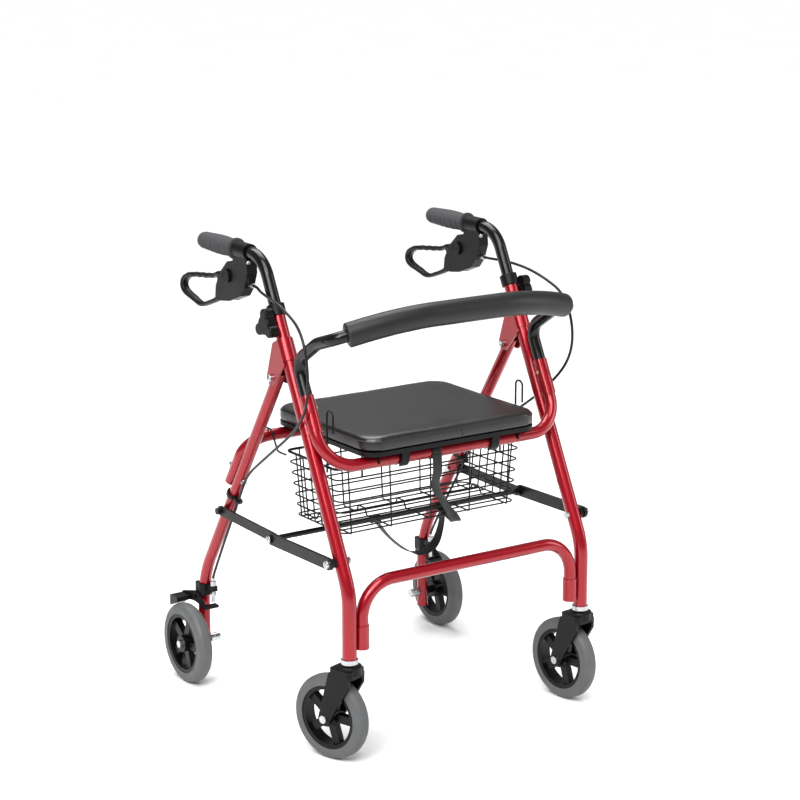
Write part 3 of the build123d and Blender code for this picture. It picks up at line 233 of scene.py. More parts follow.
class Finishes(Enum):
    """Every finish of the walker."""

    # aluminium tube under a translucent wine-red lacquer: deep colour, metallic glow, wet-looking coat
    RED_LACQUER = Finish("wine_red_lacquer", "9C0218", "6E0210", metallic=0.5, roughness=0.3,
                         patch_mix=0.45, grain_mm=0.5, grain_depth_mm=0.004, coat=0.8,
                         coat_roughness=0.09, specular=0.15)
    # steel tube under black powder enamel: near black with a broad soft highlight
    BLACK_ENAMEL = Finish("black_enamel", "060505", "030303", roughness=0.24, coat=0.25, specular=0.25,
                          coat_roughness=0.12, grain_mm=1.4, grain_depth_mm=0.006)
    # injection-moulded nylon: charcoal with a fine spark-eroded grain
    MOULDED_NYLON = Finish("moulded_nylon", "09090A", "050505", roughness=0.4, specular=0.2,
                           roughness_spread=0.08, grain_mm=0.55, grain_depth_mm=0.018)
    # glossier moulded hub: black with a slight shine on the ribs
    HUB_NYLON = Finish("hub_nylon", "070708", "040404", roughness=0.36, specular=0.2, grain_mm=0.7,
                       grain_depth_mm=0.012)
    # thermoplastic rubber grip: soft, dull, slightly lighter where it is handled
    GRIP_RUBBER = Finish("grip_rubber", "0A0A0B", "050506", roughness=0.36, specular=0.3,
                         grain_mm=0.9, grain_depth_mm=0.03, patch_mm=25.0)
    # solid grey tyre: dusty mid grey with a faint scuff on the tread
    TYRE = Finish("grey_tyre_rubber", "58595A", "464748", roughness=0.55, specular=0.4, roughness_spread=0.1,
                  patch_mm=18.0, patch_mix=0.5, grain_mm=0.7, grain_depth_mm=0.03)
    # closed-cell foam with a smooth skin: charcoal grey, soft highlight
    FOAM = CellFinish("closed_cell_foam", "1A1B1B", "121313", roughness=0.42, specular=0.35,
                      grain_mm=0.8, grain_depth_mm=0.035, patch_mm=70.0)
    # embossed vinyl over padding: black with a leather-like grain and a satin shine
    VINYL = CellFinish("embossed_vinyl", "0A0A0B", "060606", roughness=0.36, specular=0.55, coat=0.2,
                       coat_roughness=0.3, grain_mm=1.5, grain_depth_mm=0.06, patch_mm=90.0)
    # nylon webbing: threads of about 1 mm that catch a little light
    WEBBING = WovenFinish("nylon_webbing", "0C0C0D", "060607", roughness=0.62, sheen=0.06,
                          grain_depth_mm=0.12, thread_mm=1.6)
    # zinc-plated steel: bright grey with small dull patches
    ZINC = Finish("zinc_plated_steel", "C9CBCE", "9A9DA2", metallic=1.0, roughness=0.28,
                  roughness_spread=0.1, patch_mm=6.0, patch_mix=0.5, grain_mm=0.4,
                  grain_depth_mm=0.004)
    # brass: warm yellow, softly polished
    BRASS = Finish("brass", "C9A45C", "9C7A3A", metallic=1.0, roughness=0.3, patch_mm=4.0)
    # steel strip under a thin dark satin paint
    BRACE_PAINT = Finish("satin_black_paint", "0F0D0D", "080707", metallic=0.1, roughness=0.4, specular=0.3,
                         patch_mm=35.0, patch_mix=0.5, grain_mm=1.0, grain_depth_mm=0.01)
    # wire dipped in black plastic: rounded, slightly glossy
    DIPPED_WIRE = Finish("dipped_wire", "0A0A0B", "060606", roughness=0.36, specular=0.3, grain_mm=1.2,
                         grain_depth_mm=0.02)
    # extruded PVC sheath of the brake cable
    PVC_SHEATH = Finish("pvc_sheath", "0B0B0C", "070708", roughness=0.33, specular=0.35, grain_mm=1.5,
                        grain_depth_mm=0.008)

    def material(self) -> bpy.types.Material:
        """The one material of this finish, built at first use."""
        return bpy.data.materials.get(self.value.name) or self.value.build()


# --- mesh tools ------------------------------------------------------------------


def mesh_object(name: str, points: list[Vector], faces: list[tuple[int, ...]], finish: Finishes,
                smooth: bool = True) -> bpy.types.Object:
    """Make a mesh object in the scene.

    Args:
        name: Piece name.
        points: Vertex places in metres.
        faces: Vertex indices of each face.
        finish: The finish of the whole piece.
        smooth: Whether faces are shaded smooth.

    Returns:
        The new object.
    """
    mesh = bpy.data.meshes.new(name)
    mesh.from_pydata([tuple(p) for p in points], [], faces)
    for polygon in mesh.polygons:
        polygon.use_smooth = smooth
    mesh.materials.append(finish.material())
    piece = bpy.data.objects.new(name, mesh)
    bpy.context.scene.collection.objects.link(piece)
    return piece


def turned(name: str, profile: list[tuple[float, float]], centre: Vector, axis: Vector,
           finish: Finishes, sides: int = 32) -> bpy.types.Object:
    """Make a piece turned about an axis.

    Args:
        name: Piece name.
        profile: (distance along the axis, radius) pairs, in metres.
        centre: Where the axis distance is zero.
        axis: Direction of the axis.
        finish: The finish of the piece.
        sides: Number of faces round the axis; 6 gives a hexagon.

    Returns:
        The new object, closed at both ends.
    """
    frame_turn = axis.normalized().to_track_quat("Z", "X").to_matrix()
    points = []
    for along, radius in profile:
        for i in range(sides):
            angle = 2 * math.pi * i / sides
            local = Vector((radius * math.cos(angle), radius * math.sin(angle), along))
            points.append(centre + frame_turn @ local)
    faces: list[tuple[int, ...]] = []
    for ring in range(len(profile) - 1):
        for i in range(sides):
            j = (i + 1) % sides
            a, b = ring * sides, (ring + 1) * sides
            faces.append((a + i, a + j, b + j, b + i))
    faces.append(tuple(reversed(range(sides))))
    faces.append(tuple(range((len(profile) - 1) * sides, len(profile) * sides)))
    piece = mesh_object(name, points, faces, finish)
    piece.data.shade_smooth()
    bpy.context.view_layer.objects.active = piece
    edges = piece.modifiers.new("edges", "EDGE_SPLIT")
    edges.split_angle = math.radians(35)
    apply_modifiers(piece)
    return piece


def apply_modifiers(piece: bpy.types.Object) -> None:
    """Write the result of a piece's modifiers into its mesh and drop them.

    Args:
        piece: Mesh object to settle.
    """
    bpy.context.view_layer.update()
    graph = bpy.context.evaluated_depsgraph_get()
    made = bpy.data.meshes.new_from_object(piece.evaluated_get(graph), depsgraph=graph)
    piece.modifiers.clear()
    old = piece.data
    piece.data = made
    made.name = old.name
    bpy.data.meshes.remove(old)


def swept(name: str, path: list[Vector], sections: list[list[Vector]], finish: Finishes,
          closed: bool = False) -> bpy.types.Object:
    """Make a skin through cross-sections along a path.

    Args:
        name: Piece name.
        path: Centre of each section.
        sections: Offsets of each section's points from its centre.
        finish: The finish of the piece.
        closed: Whether the last section joins the first.

    Returns:
        The new object; its ends are capped when it isn't closed.
    """
    count = len(sections[0])
    points = [centre + offset for centre, section in zip(path, sections) for offset in section]
    faces: list[tuple[int, ...]] = []
    rings = len(path)
    for ring in range(rings if closed else rings - 1):
        after = (ring + 1) % rings
        for i in range(count):
            j = (i + 1) % count
            faces.append((ring * count + i, ring * count + j, after * count + j, after * count + i))
    if not closed:
        faces.append(tuple(reversed(range(count))))
        faces.append(tuple(range((rings - 1) * count, rings * count)))
    return mesh_object(name, points, faces, finish)


def smooth_path(points: list[Vector], steps: int) -> list[Vector]:
    """Points along a smooth curve through the given points.

    Args:
        points: Places the curve passes through.
        steps: Number of spans between neighbours.

    Returns:
        The sampled places, from the first point to the last.
    """
    ends = [points[0] * 2 - points[1], *points, points[-1] * 2 - points[-2]]
    result: list[Vector] = []
    for i in range(1, len(ends) - 2):
        a, b, c, d = ends[i - 1:i + 3]
        for k in range(steps):
            t = k / steps
            result.append(0.5 * (2 * b + (c - a) * t + (2 * a - 5 * b + 4 * c - d) * t ** 2
                                 + (3 * b - a - 3 * c + d) * t ** 3))
    result.append(points[-1].copy())
    return result


def tube(name: str, path: list[Vector], radius: float, finish: Finishes, sides: int = 12,
         closed: bool = False) -> bpy.types.Object:
    """Make a round tube along a path, without twist.

    Args:
        name: Piece name.
        path: Places along the middle.
        radius: Tube radius in metres.
        finish: Its finish.
        sides: Flats round the tube.
        closed: Whether the path joins its own start.

    Returns:
        The tube.
    """
    rings: list[list[Vector]] = []
    side = Vector((0.0, 0.0, 1.0))
    for i, here in enumerate(path):
        before = path[i - 1] if (i or closed) else here
        after = path[(i + 1) % len(path)] if (i < len(path) - 1 or closed) else here
        along = (after - before).normalized()
        if abs(along.dot(side)) > 0.97:
            side = Vector((1.0, 0.0, 0.0))
        side = (side - along * side.dot(along)).normalized()
        up = along.cross(side)
        rings.append([radius * (math.cos(a) * side + math.sin(a) * up)
                      for a in (2 * math.pi * k / sides for k in range(sides))])
    return swept(name, path, rings, finish, closed)


# --- sub-assemblies ----------------------------------------------------------------


@dataclass
class FrameFinishes:
    """Dresses every carried-over part of the frame."""

    by_node: dict[str, Finishes] = field(default_factory=lambda: {
        "front_leg": Finishes.RED_LACQUER, "front_arch": Finishes.RED_LACQUER,
        "seat_front_bar": Finishes.RED_LACQUER, "tube_sockets": Finishes.RED_LACQUER,
        "pivot_brackets": Finishes.RED_LACQUER, "rear_leg": Finishes.RED_LACQUER,
        "seat_rear_bar": Finishes.RED_LACQUER, "backrest_tube": Finishes.BLACK_ENAMEL,
        "handle_tube": Finishes.BLACK_ENAMEL, "grip": Finishes.GRIP_RUBBER,
        "brake_housing": Finishes.MOULDED_NYLON, "brake_lever": Finishes.MOULDED_NYLON,
        "leg_collars": Finishes.MOULDED_NYLON, "height_knob": Finishes.MOULDED_NYLON,
        "brake_brackets": Finishes.MOULDED_NYLON, "brace_spacers": Finishes.MOULDED_NYLON,
        "rear_brake_arm": Finishes.MOULDED_NYLON, "seat_base": Finishes.MOULDED_NYLON,
        "caster_fork": Finishes.MOULDED_NYLON, "rear_hub": Finishes.HUB_NYLON,
        "caster_hub": Finishes.HUB_NYLON, "rear_tyre": Finishes.TYRE, "caster_tyre": Finishes.TYRE,
        "front_bolts": Finishes.ZINC, "rear_bolts": Finishes.ZINC, "rear_axles": Finishes.ZINC,
        "brake_adjusters": Finishes.ZINC, "caster_bearings": Finishes.ZINC,
        "socket_button": Finishes.BRASS, "front_braces": Finishes.BRACE_PAINT,
        "rear_braces": Finishes.BRACE_PAINT, "brace_rod": Finishes.BRACE_PAINT,
        "basket_ends": Finishes.DIPPED_WIRE, "basket_sides": Finishes.DIPPED_WIRE,
        "basket_floor": Finishes.DIPPED_WIRE, "basket_hooks": Finishes.DIPPED_WIRE,
        "basket_rests": Finishes.DIPPED_WIRE, "brake_cable": Finishes.PVC_SHEATH,
        "brake_cables": Finishes.PVC_SHEATH, "seat_cushion": Finishes.VINYL,
        "backrest_foam": Finishes.FOAM, "pull_strap": Finishes.WEBBING,
    })

    def finish_of(self, node: str) -> Finishes:
        """The finish of one node, by the longest name that starts it."""
        matches = [key for key in self.by_node if node.startswith(key)]
        return self.by_node[max(matches, key=len)]

    def islands(self, mesh: bpy.types.Mesh) -> list[tuple[list[int], Vector, Vector]]:
        """Faces of each loose piece of a mesh, with the piece's box.

        Args:
            mesh: Mesh of one frame node.

        Returns:
            For each loose piece its faces, lowest corner and highest corner.
        """
        parent = list(range(len(mesh.vertices)))

        def root(i: int) -> int:
            """Representative vertex of the piece that holds vertex i."""
            while parent[i] != i:
                parent[i] = parent[parent[i]]
                i = parent[i]
            return i

        places: dict[tuple[int, int, int], int] = {}
        for vertex in mesh.vertices:
            key = tuple(round(c * 1e6) for c in vertex.co)
            if key in places:
                parent[root(vertex.index)] = root(places[key])
            else:
                places[key] = vertex.index
        for polygon in mesh.polygons:
            first = root(polygon.vertices[0])
            for index in polygon.vertices[1:]:
                parent[root(index)] = first
        groups: dict[int, list[int]] = {}
        for polygon in mesh.polygons:
            groups.setdefault(root(polygon.vertices[0]), []).append(polygon.index)
        result = []
        for faces in groups.values():
            spots = [mesh.vertices[v].co for f in faces for v in mesh.polygons[f].vertices]
            low = Vector(min(p[k] for p in spots) for k in range(3))
            high = Vector(max(p[k] for p in spots) for k in range(3))
            result.append((faces, low, high))
        return result

    def second_finish(self, node: str, low: Vector, high: Vector) -> Finishes | None:
        """Choose the other finish of a loose piece in a node that holds pieces of two materials.

        Args:
            node: Frame node name.
            low: Lowest corner of the loose piece.
            high: Highest corner of the loose piece.

        Returns:
            The other finish, or None when the piece keeps the node's own.
        """
        size = high - low
        if node.startswith("caster_fork") and max(size) < 0.08 and high.z < 0.1:
            return Finishes.ZINC
        if node.startswith("brake_housing") and size.z < 0.012:
            return Finishes.ZINC
        if node == "rear_axles" and size.x < 0.0195:
            return Finishes.MOULDED_NYLON
        return None

    def build(self) -> None:
        """Give every node its material, and mixed nodes one for each loose piece."""
        for name, piece in frame["nodes"].items():
            mesh = piece.data
            mesh.materials.clear()
            mesh.materials.append(self.finish_of(name).material())
            for polygon in mesh.polygons:
                polygon.material_index = 0
            if not name.startswith(("caster_fork", "brake_housing", "rear_axles")):
                continue
            for faces, low, high in self.islands(mesh):
                other = self.second_finish(name, low, high)
                if other is None:
                    continue
                if other.material().name not in [m.name for m in mesh.materials]:
                    mesh.materials.append(other.material())
                index = [m.name for m in mesh.materials].index(other.material().name)
                for face in faces:
                    mesh.polygons[face].material_index = index
        log.info("dressed %d frame nodes", len(frame["nodes"]))


@dataclass
class SeatPad:
    """Padded vinyl seat with a welt under its top edge."""

    crown: float = 5.0 * MM
    edge_round: float = 8.0 * MM
    corner: float = 36.0 * MM
    welt_drop: float = 9.5 * MM
    welt_radius: float = 1.1 * MM
    spacing: float = 5.0 * MM
    swell_cap: float = 2.5 * MM

    def outline(self, inset: float, count: int = 24) -> list[Vector]:
        """Rounded rectangle round the seat, inset from the frame's cushion.

        Args:
            inset: How far inside the cushion's sides, in metres.
            count: Points in each corner.

        Returns:
            Places anticlockwise from above, with z at 0.
        """
        low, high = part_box("seat_cushion")
        radius = max(self.corner - inset, 2 * MM)
        x = high.x - inset - radius
        y0, y1 = low.y + inset + radius, high.y - inset - radius
        points = []
        for cx, cy, start in ((x, y1, 0), (-x, y1, 90), (-x, y0, 180), (x, y0, 270)):
            for k in range(count + 1):
                angle = math.radians(start + 90 * k / count)
                points.append(Vector((cx + radius * math.cos(angle), cy + radius * math.sin(angle), 0)))
        return points

    def shell(self) -> bpy.types.Object:
        """Closed pad with a round top edge, as cut before it is filled."""
        low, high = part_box("seat_cushion")
        height = high.z - low.z
        rings: list[tuple[float, float]] = [(2 * MM, 0.0), (0.3 * MM, 1.2 * MM), (-0.2 * MM, 4 * MM),
                                            (-0.2 * MM, height - self.edge_round - 2 * MM)]
        for k in range(1, 9):
            angle = math.radians(90 * k / 8)
            rings.append((-0.2 * MM + self.edge_round * (1 - math.cos(angle)),
                          height - self.edge_round - 2 * MM + self.edge_round * math.sin(angle) * 0.92))
        for k in range(1, 14):
            rings.append((self.edge_round + k * 11.5 * MM,
                          height - 2.6 * MM + self.crown * 0.5 * (1 - (1 - k / 13) ** 2.2)))
        points: list[Vector] = []
        faces: list[tuple[int, ...]] = []
        count = 0
        for inset, rise in rings:
            loop = self.outline(inset) if inset < self.corner - 2 * MM else None
            if loop is None:
                base = self.outline(self.corner - 3 * MM)
                middle = Vector((0, (low.y + high.y) / 2, 0))
                scale = 1 - (inset - self.corner + 3 * MM) / (0.155 - self.corner + 3 * MM)
                loop = [middle + Vector(((p.x - middle.x) * max(scale, 0.02),
                                         (p.y - middle.y) * max(scale, 0.02), 0)) for p in base]
            count = len(loop)
            points += [p + Vector((0, 0, low.z + rise)) for p in loop]
        for ring in range(len(rings) - 1):
            for i in range(count):
                j = (i + 1) % count
                a, b = ring * count, (ring + 1) * count
                faces.append((a + i, a + j, b + j, b + i))
        faces.append(tuple(reversed(range(count))))
        faces.append(tuple(range((len(rings) - 1) * count, len(rings) * count)))
        return mesh_object("seat_pad", points, faces, Finishes.VINYL)

    def fill(self, pad: bpy.types.Object) -> None:
        """Swell the pad as its filling does, with cloth simulation and a cap on the travel.

        Args:
            pad: The flat pad to swell.
        """
        remesh = pad.modifiers.new("even", "REMESH")
        remesh.mode, remesh.voxel_size = "VOXEL", self.spacing
        apply_modifiers(pad)
        rest = [v.co.copy() for v in pad.data.vertices]
        cloth = pad.modifiers.new("cloth", "CLOTH")
        cloth.settings.use_pressure = True
        cloth.settings.uniform_pressure_force = 4.0
        cloth.settings.effector_weights.gravity = 0.0
        cloth.settings.quality = 5
        scene = bpy.context.scene
        for step in range(1, 21):
            scene.frame_set(step)
        apply_modifiers(pad)
        scene.frame_set(1)
        low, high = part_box("seat_cushion")
        for vertex, start in zip(pad.data.vertices, rest):
            move = vertex.co - start
            if move.length > self.swell_cap:
                move *= self.swell_cap / move.length
            if start.z < low.z + 6 * MM:
                move = Vector((move.x * 0.4, move.y * 0.4, 0))
            vertex.co = start + move
            vertex.co.z = max(vertex.co.z, low.z + 0.2 * MM)
        smooth = pad.modifiers.new("smooth", "SMOOTH")
        smooth.iterations, smooth.factor = 4, 0.5
        fine = pad.modifiers.new("fine", "SUBSURF")
        fine.levels = fine.render_levels = 1
        apply_modifiers(pad)
        pad.data.shade_smooth()

    def welt(self, pad: bpy.types.Object) -> list[bpy.types.Object]:
        """Piping round the side of the pad, and the seam at the middle of its front.

        Args:
            pad: The swelled pad that the piping lies on.

        Returns:
            The piping and the seam.
        """
        low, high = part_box("seat_cushion")
        level = high.z - self.welt_drop
        tree_points = []
        middle = Vector((0, (low.y + high.y) / 2, level))
        for p in self.outline(0.5 * MM, 16):
            start = Vector((p.x, p.y, level))
            outward = (start - middle).normalized()
            hit, place, _, _ = pad.ray_cast(start + outward * 0.03, -outward)
            spot = place if hit else start
            tree_points.append(spot + outward * 0.1 * MM)
        piping = tube("seat_welt", tree_points, self.welt_radius, Finishes.VINYL, 10, closed=True)
        seam_path = []
        for k in range(13):
            z = low.z + 2 * MM + (level - low.z - 3 * MM) * k / 12
            hit, place, _, _ = pad.ray_cast(Vector((14 * MM, low.y - 0.05, z)), Vector((0, 1, 0)))
            if hit:
                seam_path.append(place + Vector((0, -0.1 * MM, 0)))
        seam = tube("seat_front_seam", seam_path, 1.0 * MM, Finishes.VINYL, 8)
        return [piping, seam]

    def build(self) -> None:
        """Make the pad and its piping, and let them ride on the seat."""
        pad = self.shell()
        self.fill(pad)
        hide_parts("seat_cushion")
        bpy.context.view_layer.update()
        trims = self.welt(pad)
        for piece in (pad, *trims):
            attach(piece, "seat")
        log.info("seat pad with %d faces", len(pad.data.polygons))


@dataclass
class FoamSleeve:
    """Foam sleeve on the backrest bow, slightly uneven, with rounded ends and a glued slit."""

    radius: float = 21.4 * MM
    bore: float = 11.4 * MM
    corner: Vector = field(default_factory=lambda: Vector((0.250, -0.229, 0.740)))
    shoulder: Vector = field(default_factory=lambda: Vector((0.140, -0.263, 0.768)))
    bend: float = 0.400
    start: float = 0.17

    def centre_line(self) -> list[Vector]:
        """Places along the bow, from the sleeve's right end to its left end."""
        end = self.corner.lerp(self.shoulder, self.start)
        side = (end - self.shoulder).normalized()
        across = Vector((-1, 0, 0))
        half = (math.pi - side.angle(across)) / 2
        reach = self.bend * math.tan(half)
        enter, leave = self.shoulder + side * reach, self.shoulder + across * reach
        inward = (side + across).normalized()
        pivot = self.shoulder + inward * (self.bend / math.cos(half))
        arc = []
        a, b = enter - pivot, leave - pivot
        turn = a.angle(b)
        for k in range(25):
            t = k / 24
            arc.append(pivot + (a * math.sin((1 - t) * turn) + b * math.sin(t * turn)) / math.sin(turn))
        straight = [end.lerp(enter, k / 6) for k in range(6)]
        half_line = straight + arc
        middle = [half_line[-1].lerp(Vector((0, half_line[-1].y, half_line[-1].z)), k / 6)
                  for k in range(1, 7)]
        left = half_line + middle
        return [Vector((-p.x, p.y, p.z)) for p in left] + list(reversed(left[:-1]))

    def build(self) -> None:
        """Sweep the sleeve with soft unevenness and let it ride on the front frame."""
        line = self.centre_line()
        lengths = [0.0]
        for a, b in zip(line, line[1:]):
            lengths.append(lengths[-1] + (b - a).length)
        total = lengths[-1]
        stations = 260
        places = []
        for k in range(stations + 1):
            target = total * k / stations
            i = max(j for j in range(len(lengths)) if lengths[j] <= target + 1e-9)
            i = min(i, len(line) - 2)
            span = lengths[i + 1] - lengths[i]
            places.append((target, line[i].lerp(line[i + 1], (target - lengths[i]) / span)))
        path: list[Vector] = []
        rings: list[list[Vector]] = []
        sides = 72
        up = Vector((0, 0, 1))
        end_round = 4.0 * MM
        profile: list[tuple[float, float, float]] = []
        for target, _ in places:
            near = min(target, total - target)
            ease = 1.0 if near > end_round else math.sqrt(max(0.0, 1 - (1 - near / end_round) ** 2))
            profile.append((target, self.radius - end_round * (1 - ease), near))
        for i, (target, place) in enumerate(places):
            before = places[max(i - 1, 0)][1]
            after = places[min(i + 1, stations)][1]
            along = (after - before).normalized()
            side = (up - along * up.dot(along)).normalized()
            out = along.cross(side)
            ring = []
            for k in range(sides):
                angle = 2 * math.pi * k / sides
                spot = place + side * math.cos(angle) * 0.02 + out * math.sin(angle) * 0.02
                lump = noise.noise(spot * 22) * 0.35 * MM + noise.noise(spot * 90) * 0.12 * MM
                slit = math.exp(-((angle - math.pi * 1.12) / 0.035) ** 2) * 0.9 * MM
                radius = profile[i][1] + lump - slit
                ring.append((side * math.cos(angle) + out * math.sin(angle)) * radius)
            path.append(place)
            rings.append(ring)
        for index, sign in ((0, -1), (stations, 1)):
            face = [offset.normalized() * self.bore for offset in rings[index]]
            if index == 0:
                path.insert(0, path[0])
                rings.insert(0, face)
            else:
                path.append(path[-1])
                rings.append(face)
        sleeve = swept("backrest_sleeve", path, rings, Finishes.FOAM)
        sleeve.data.shade_smooth()
        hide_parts("backrest_foam")
        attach(sleeve, "front_frame")
        log.info("foam sleeve %.0f mm long", total / MM)


@dataclass
class PullStrap:
    """Webbing strap that folds the walker: from the seat bar to the cross rod, with a loose loop."""

    width: float = 20.0 * MM
    thick: float = 1.5 * MM

    def ribbon(self, name: str, spine: list[Vector], widths: list[Vector],
               steps: int = 14) -> bpy.types.Object:
        """Flat webbing through places, with its width along the given directions.

        Args:
            name: Piece name.
            spine: Places the middle of the strap passes through.
            widths: Direction of the width at each place.
            steps: Spans between neighbours.

        Returns:
            The ribbon, with rounded selvedges.
        """
        path = smooth_path(spine, steps)
        turns = smooth_path(widths, steps)
        rings: list[list[Vector]] = []
        half, lip = self.width / 2, self.thick / 2
        section = [(-half, 0), (-half + lip * 0.7, -lip), (-half * 0.5, -lip * 0.8), (0, -lip * 0.75),
                   (half * 0.5, -lip * 0.8), (half - lip * 0.7, -lip), (half, 0), (half - lip * 0.7, lip),
                   (half * 0.5, lip * 0.8), (0, lip * 0.75), (-half * 0.5, lip * 0.8),
                   (-half + lip * 0.7, lip)]
        for i, here in enumerate(path):
            along = (path[min(i + 1, len(path) - 1)] - path[max(i - 1, 0)]).normalized()
            wide = (turns[i] - along * turns[i].dot(along)).normalized()
            normal = along.cross(wide)
            rings.append([wide * a + normal * b for a, b in section])
        return swept(name, path, rings, Finishes.WEBBING)

    def build(self) -> None:
        """Make the loop on the bar, the long run, its loose loop and the stitched ends."""
        rod_low, rod_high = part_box("brace_rod")
        rod = Vector((0, (rod_low.y + rod_high.y) / 2, (rod_low.z + rod_high.z) / 2))
        bar = Vector((0, -0.1988, 0.507))
        reach = 12.3 * MM
        ring_path = [bar + Vector((-0.028, reach * math.sin(a), reach * math.cos(a)))
                     for a in (2 * math.pi * k / 40 for k in range(41))]
        wrap = self.ribbon("strap_bar_loop", ring_path, [Vector((1, 0, 0))] * 41, 1)
        run_spine = [Vector((-0.028, bar.y - reach, bar.z - 0.002)), Vector((-0.027, bar.y - 0.0125, 0.474)),
                     Vector((-0.019, bar.y + 0.004, 0.440)), Vector((0.010, -0.184, 0.398)),
                     Vector((0.046, -0.165, 0.3585)), Vector((0.074, -0.112, 0.3475)),
                     Vector((0.092, rod.y - 0.004, rod.z - 6.4 * MM))]
        run_widths = [Vector((1, 0, 0)), Vector((1, 0, 0)), Vector((0.95, 0.2, 0.1)),
                      Vector((0.6, 0.55, 0.55)),
                      Vector((0.75, -0.3, 0.1)), Vector((0.95, -0.3, 0)), Vector((1, 0, 0))]
        run = self.ribbon("strap_long_run", run_spine, run_widths)
        under = rod.z - 6.2 * MM
        loop_spine = [Vector((0.093, rod.y, under)), Vector((0.088, rod.y - 0.004, 0.318)),
                      Vector((0.070, rod.y - 0.008, 0.285)), Vector((0.040, rod.y - 0.006, 0.2725)),
                      Vector((0.012, rod.y - 0.002, 0.281)), Vector((-0.025, rod.y, 0.312)),
                      Vector((-0.054, rod.y, under + 0.001))]
        loop_widths = [Vector((0, 1, 0)), Vector((0.1, 1, 0.1)), Vector((0, 1, 0.35)), Vector((0, 1, 0.2)),
                       Vector((0, 1, -0.1)), Vector((0, 1, 0)), Vector((0, 1, 0))]
        loop = self.ribbon("strap_loose_loop", loop_spine, loop_widths)
        pieces = [wrap, run, loop]
        for x in (0.093, -0.056):
            around = [Vector((x, rod.y + 6.3 * MM * math.sin(a), rod.z + 6.3 * MM * math.cos(a)))
                      for a in (2 * math.pi * k / 28 for k in range(29))]
            pieces.append(self.ribbon(f"strap_rod_loop_{'left' if x > 0 else 'right'}", around,
                                      [Vector((1, 0, 0))] * 29, 1))
        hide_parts("pull_strap")
        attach(wrap, "front_frame")
        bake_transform(run)
        for piece in (loop, *pieces[3:]):
            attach(piece, "front_links")
        log.info("strap in %d pieces", len(pieces))


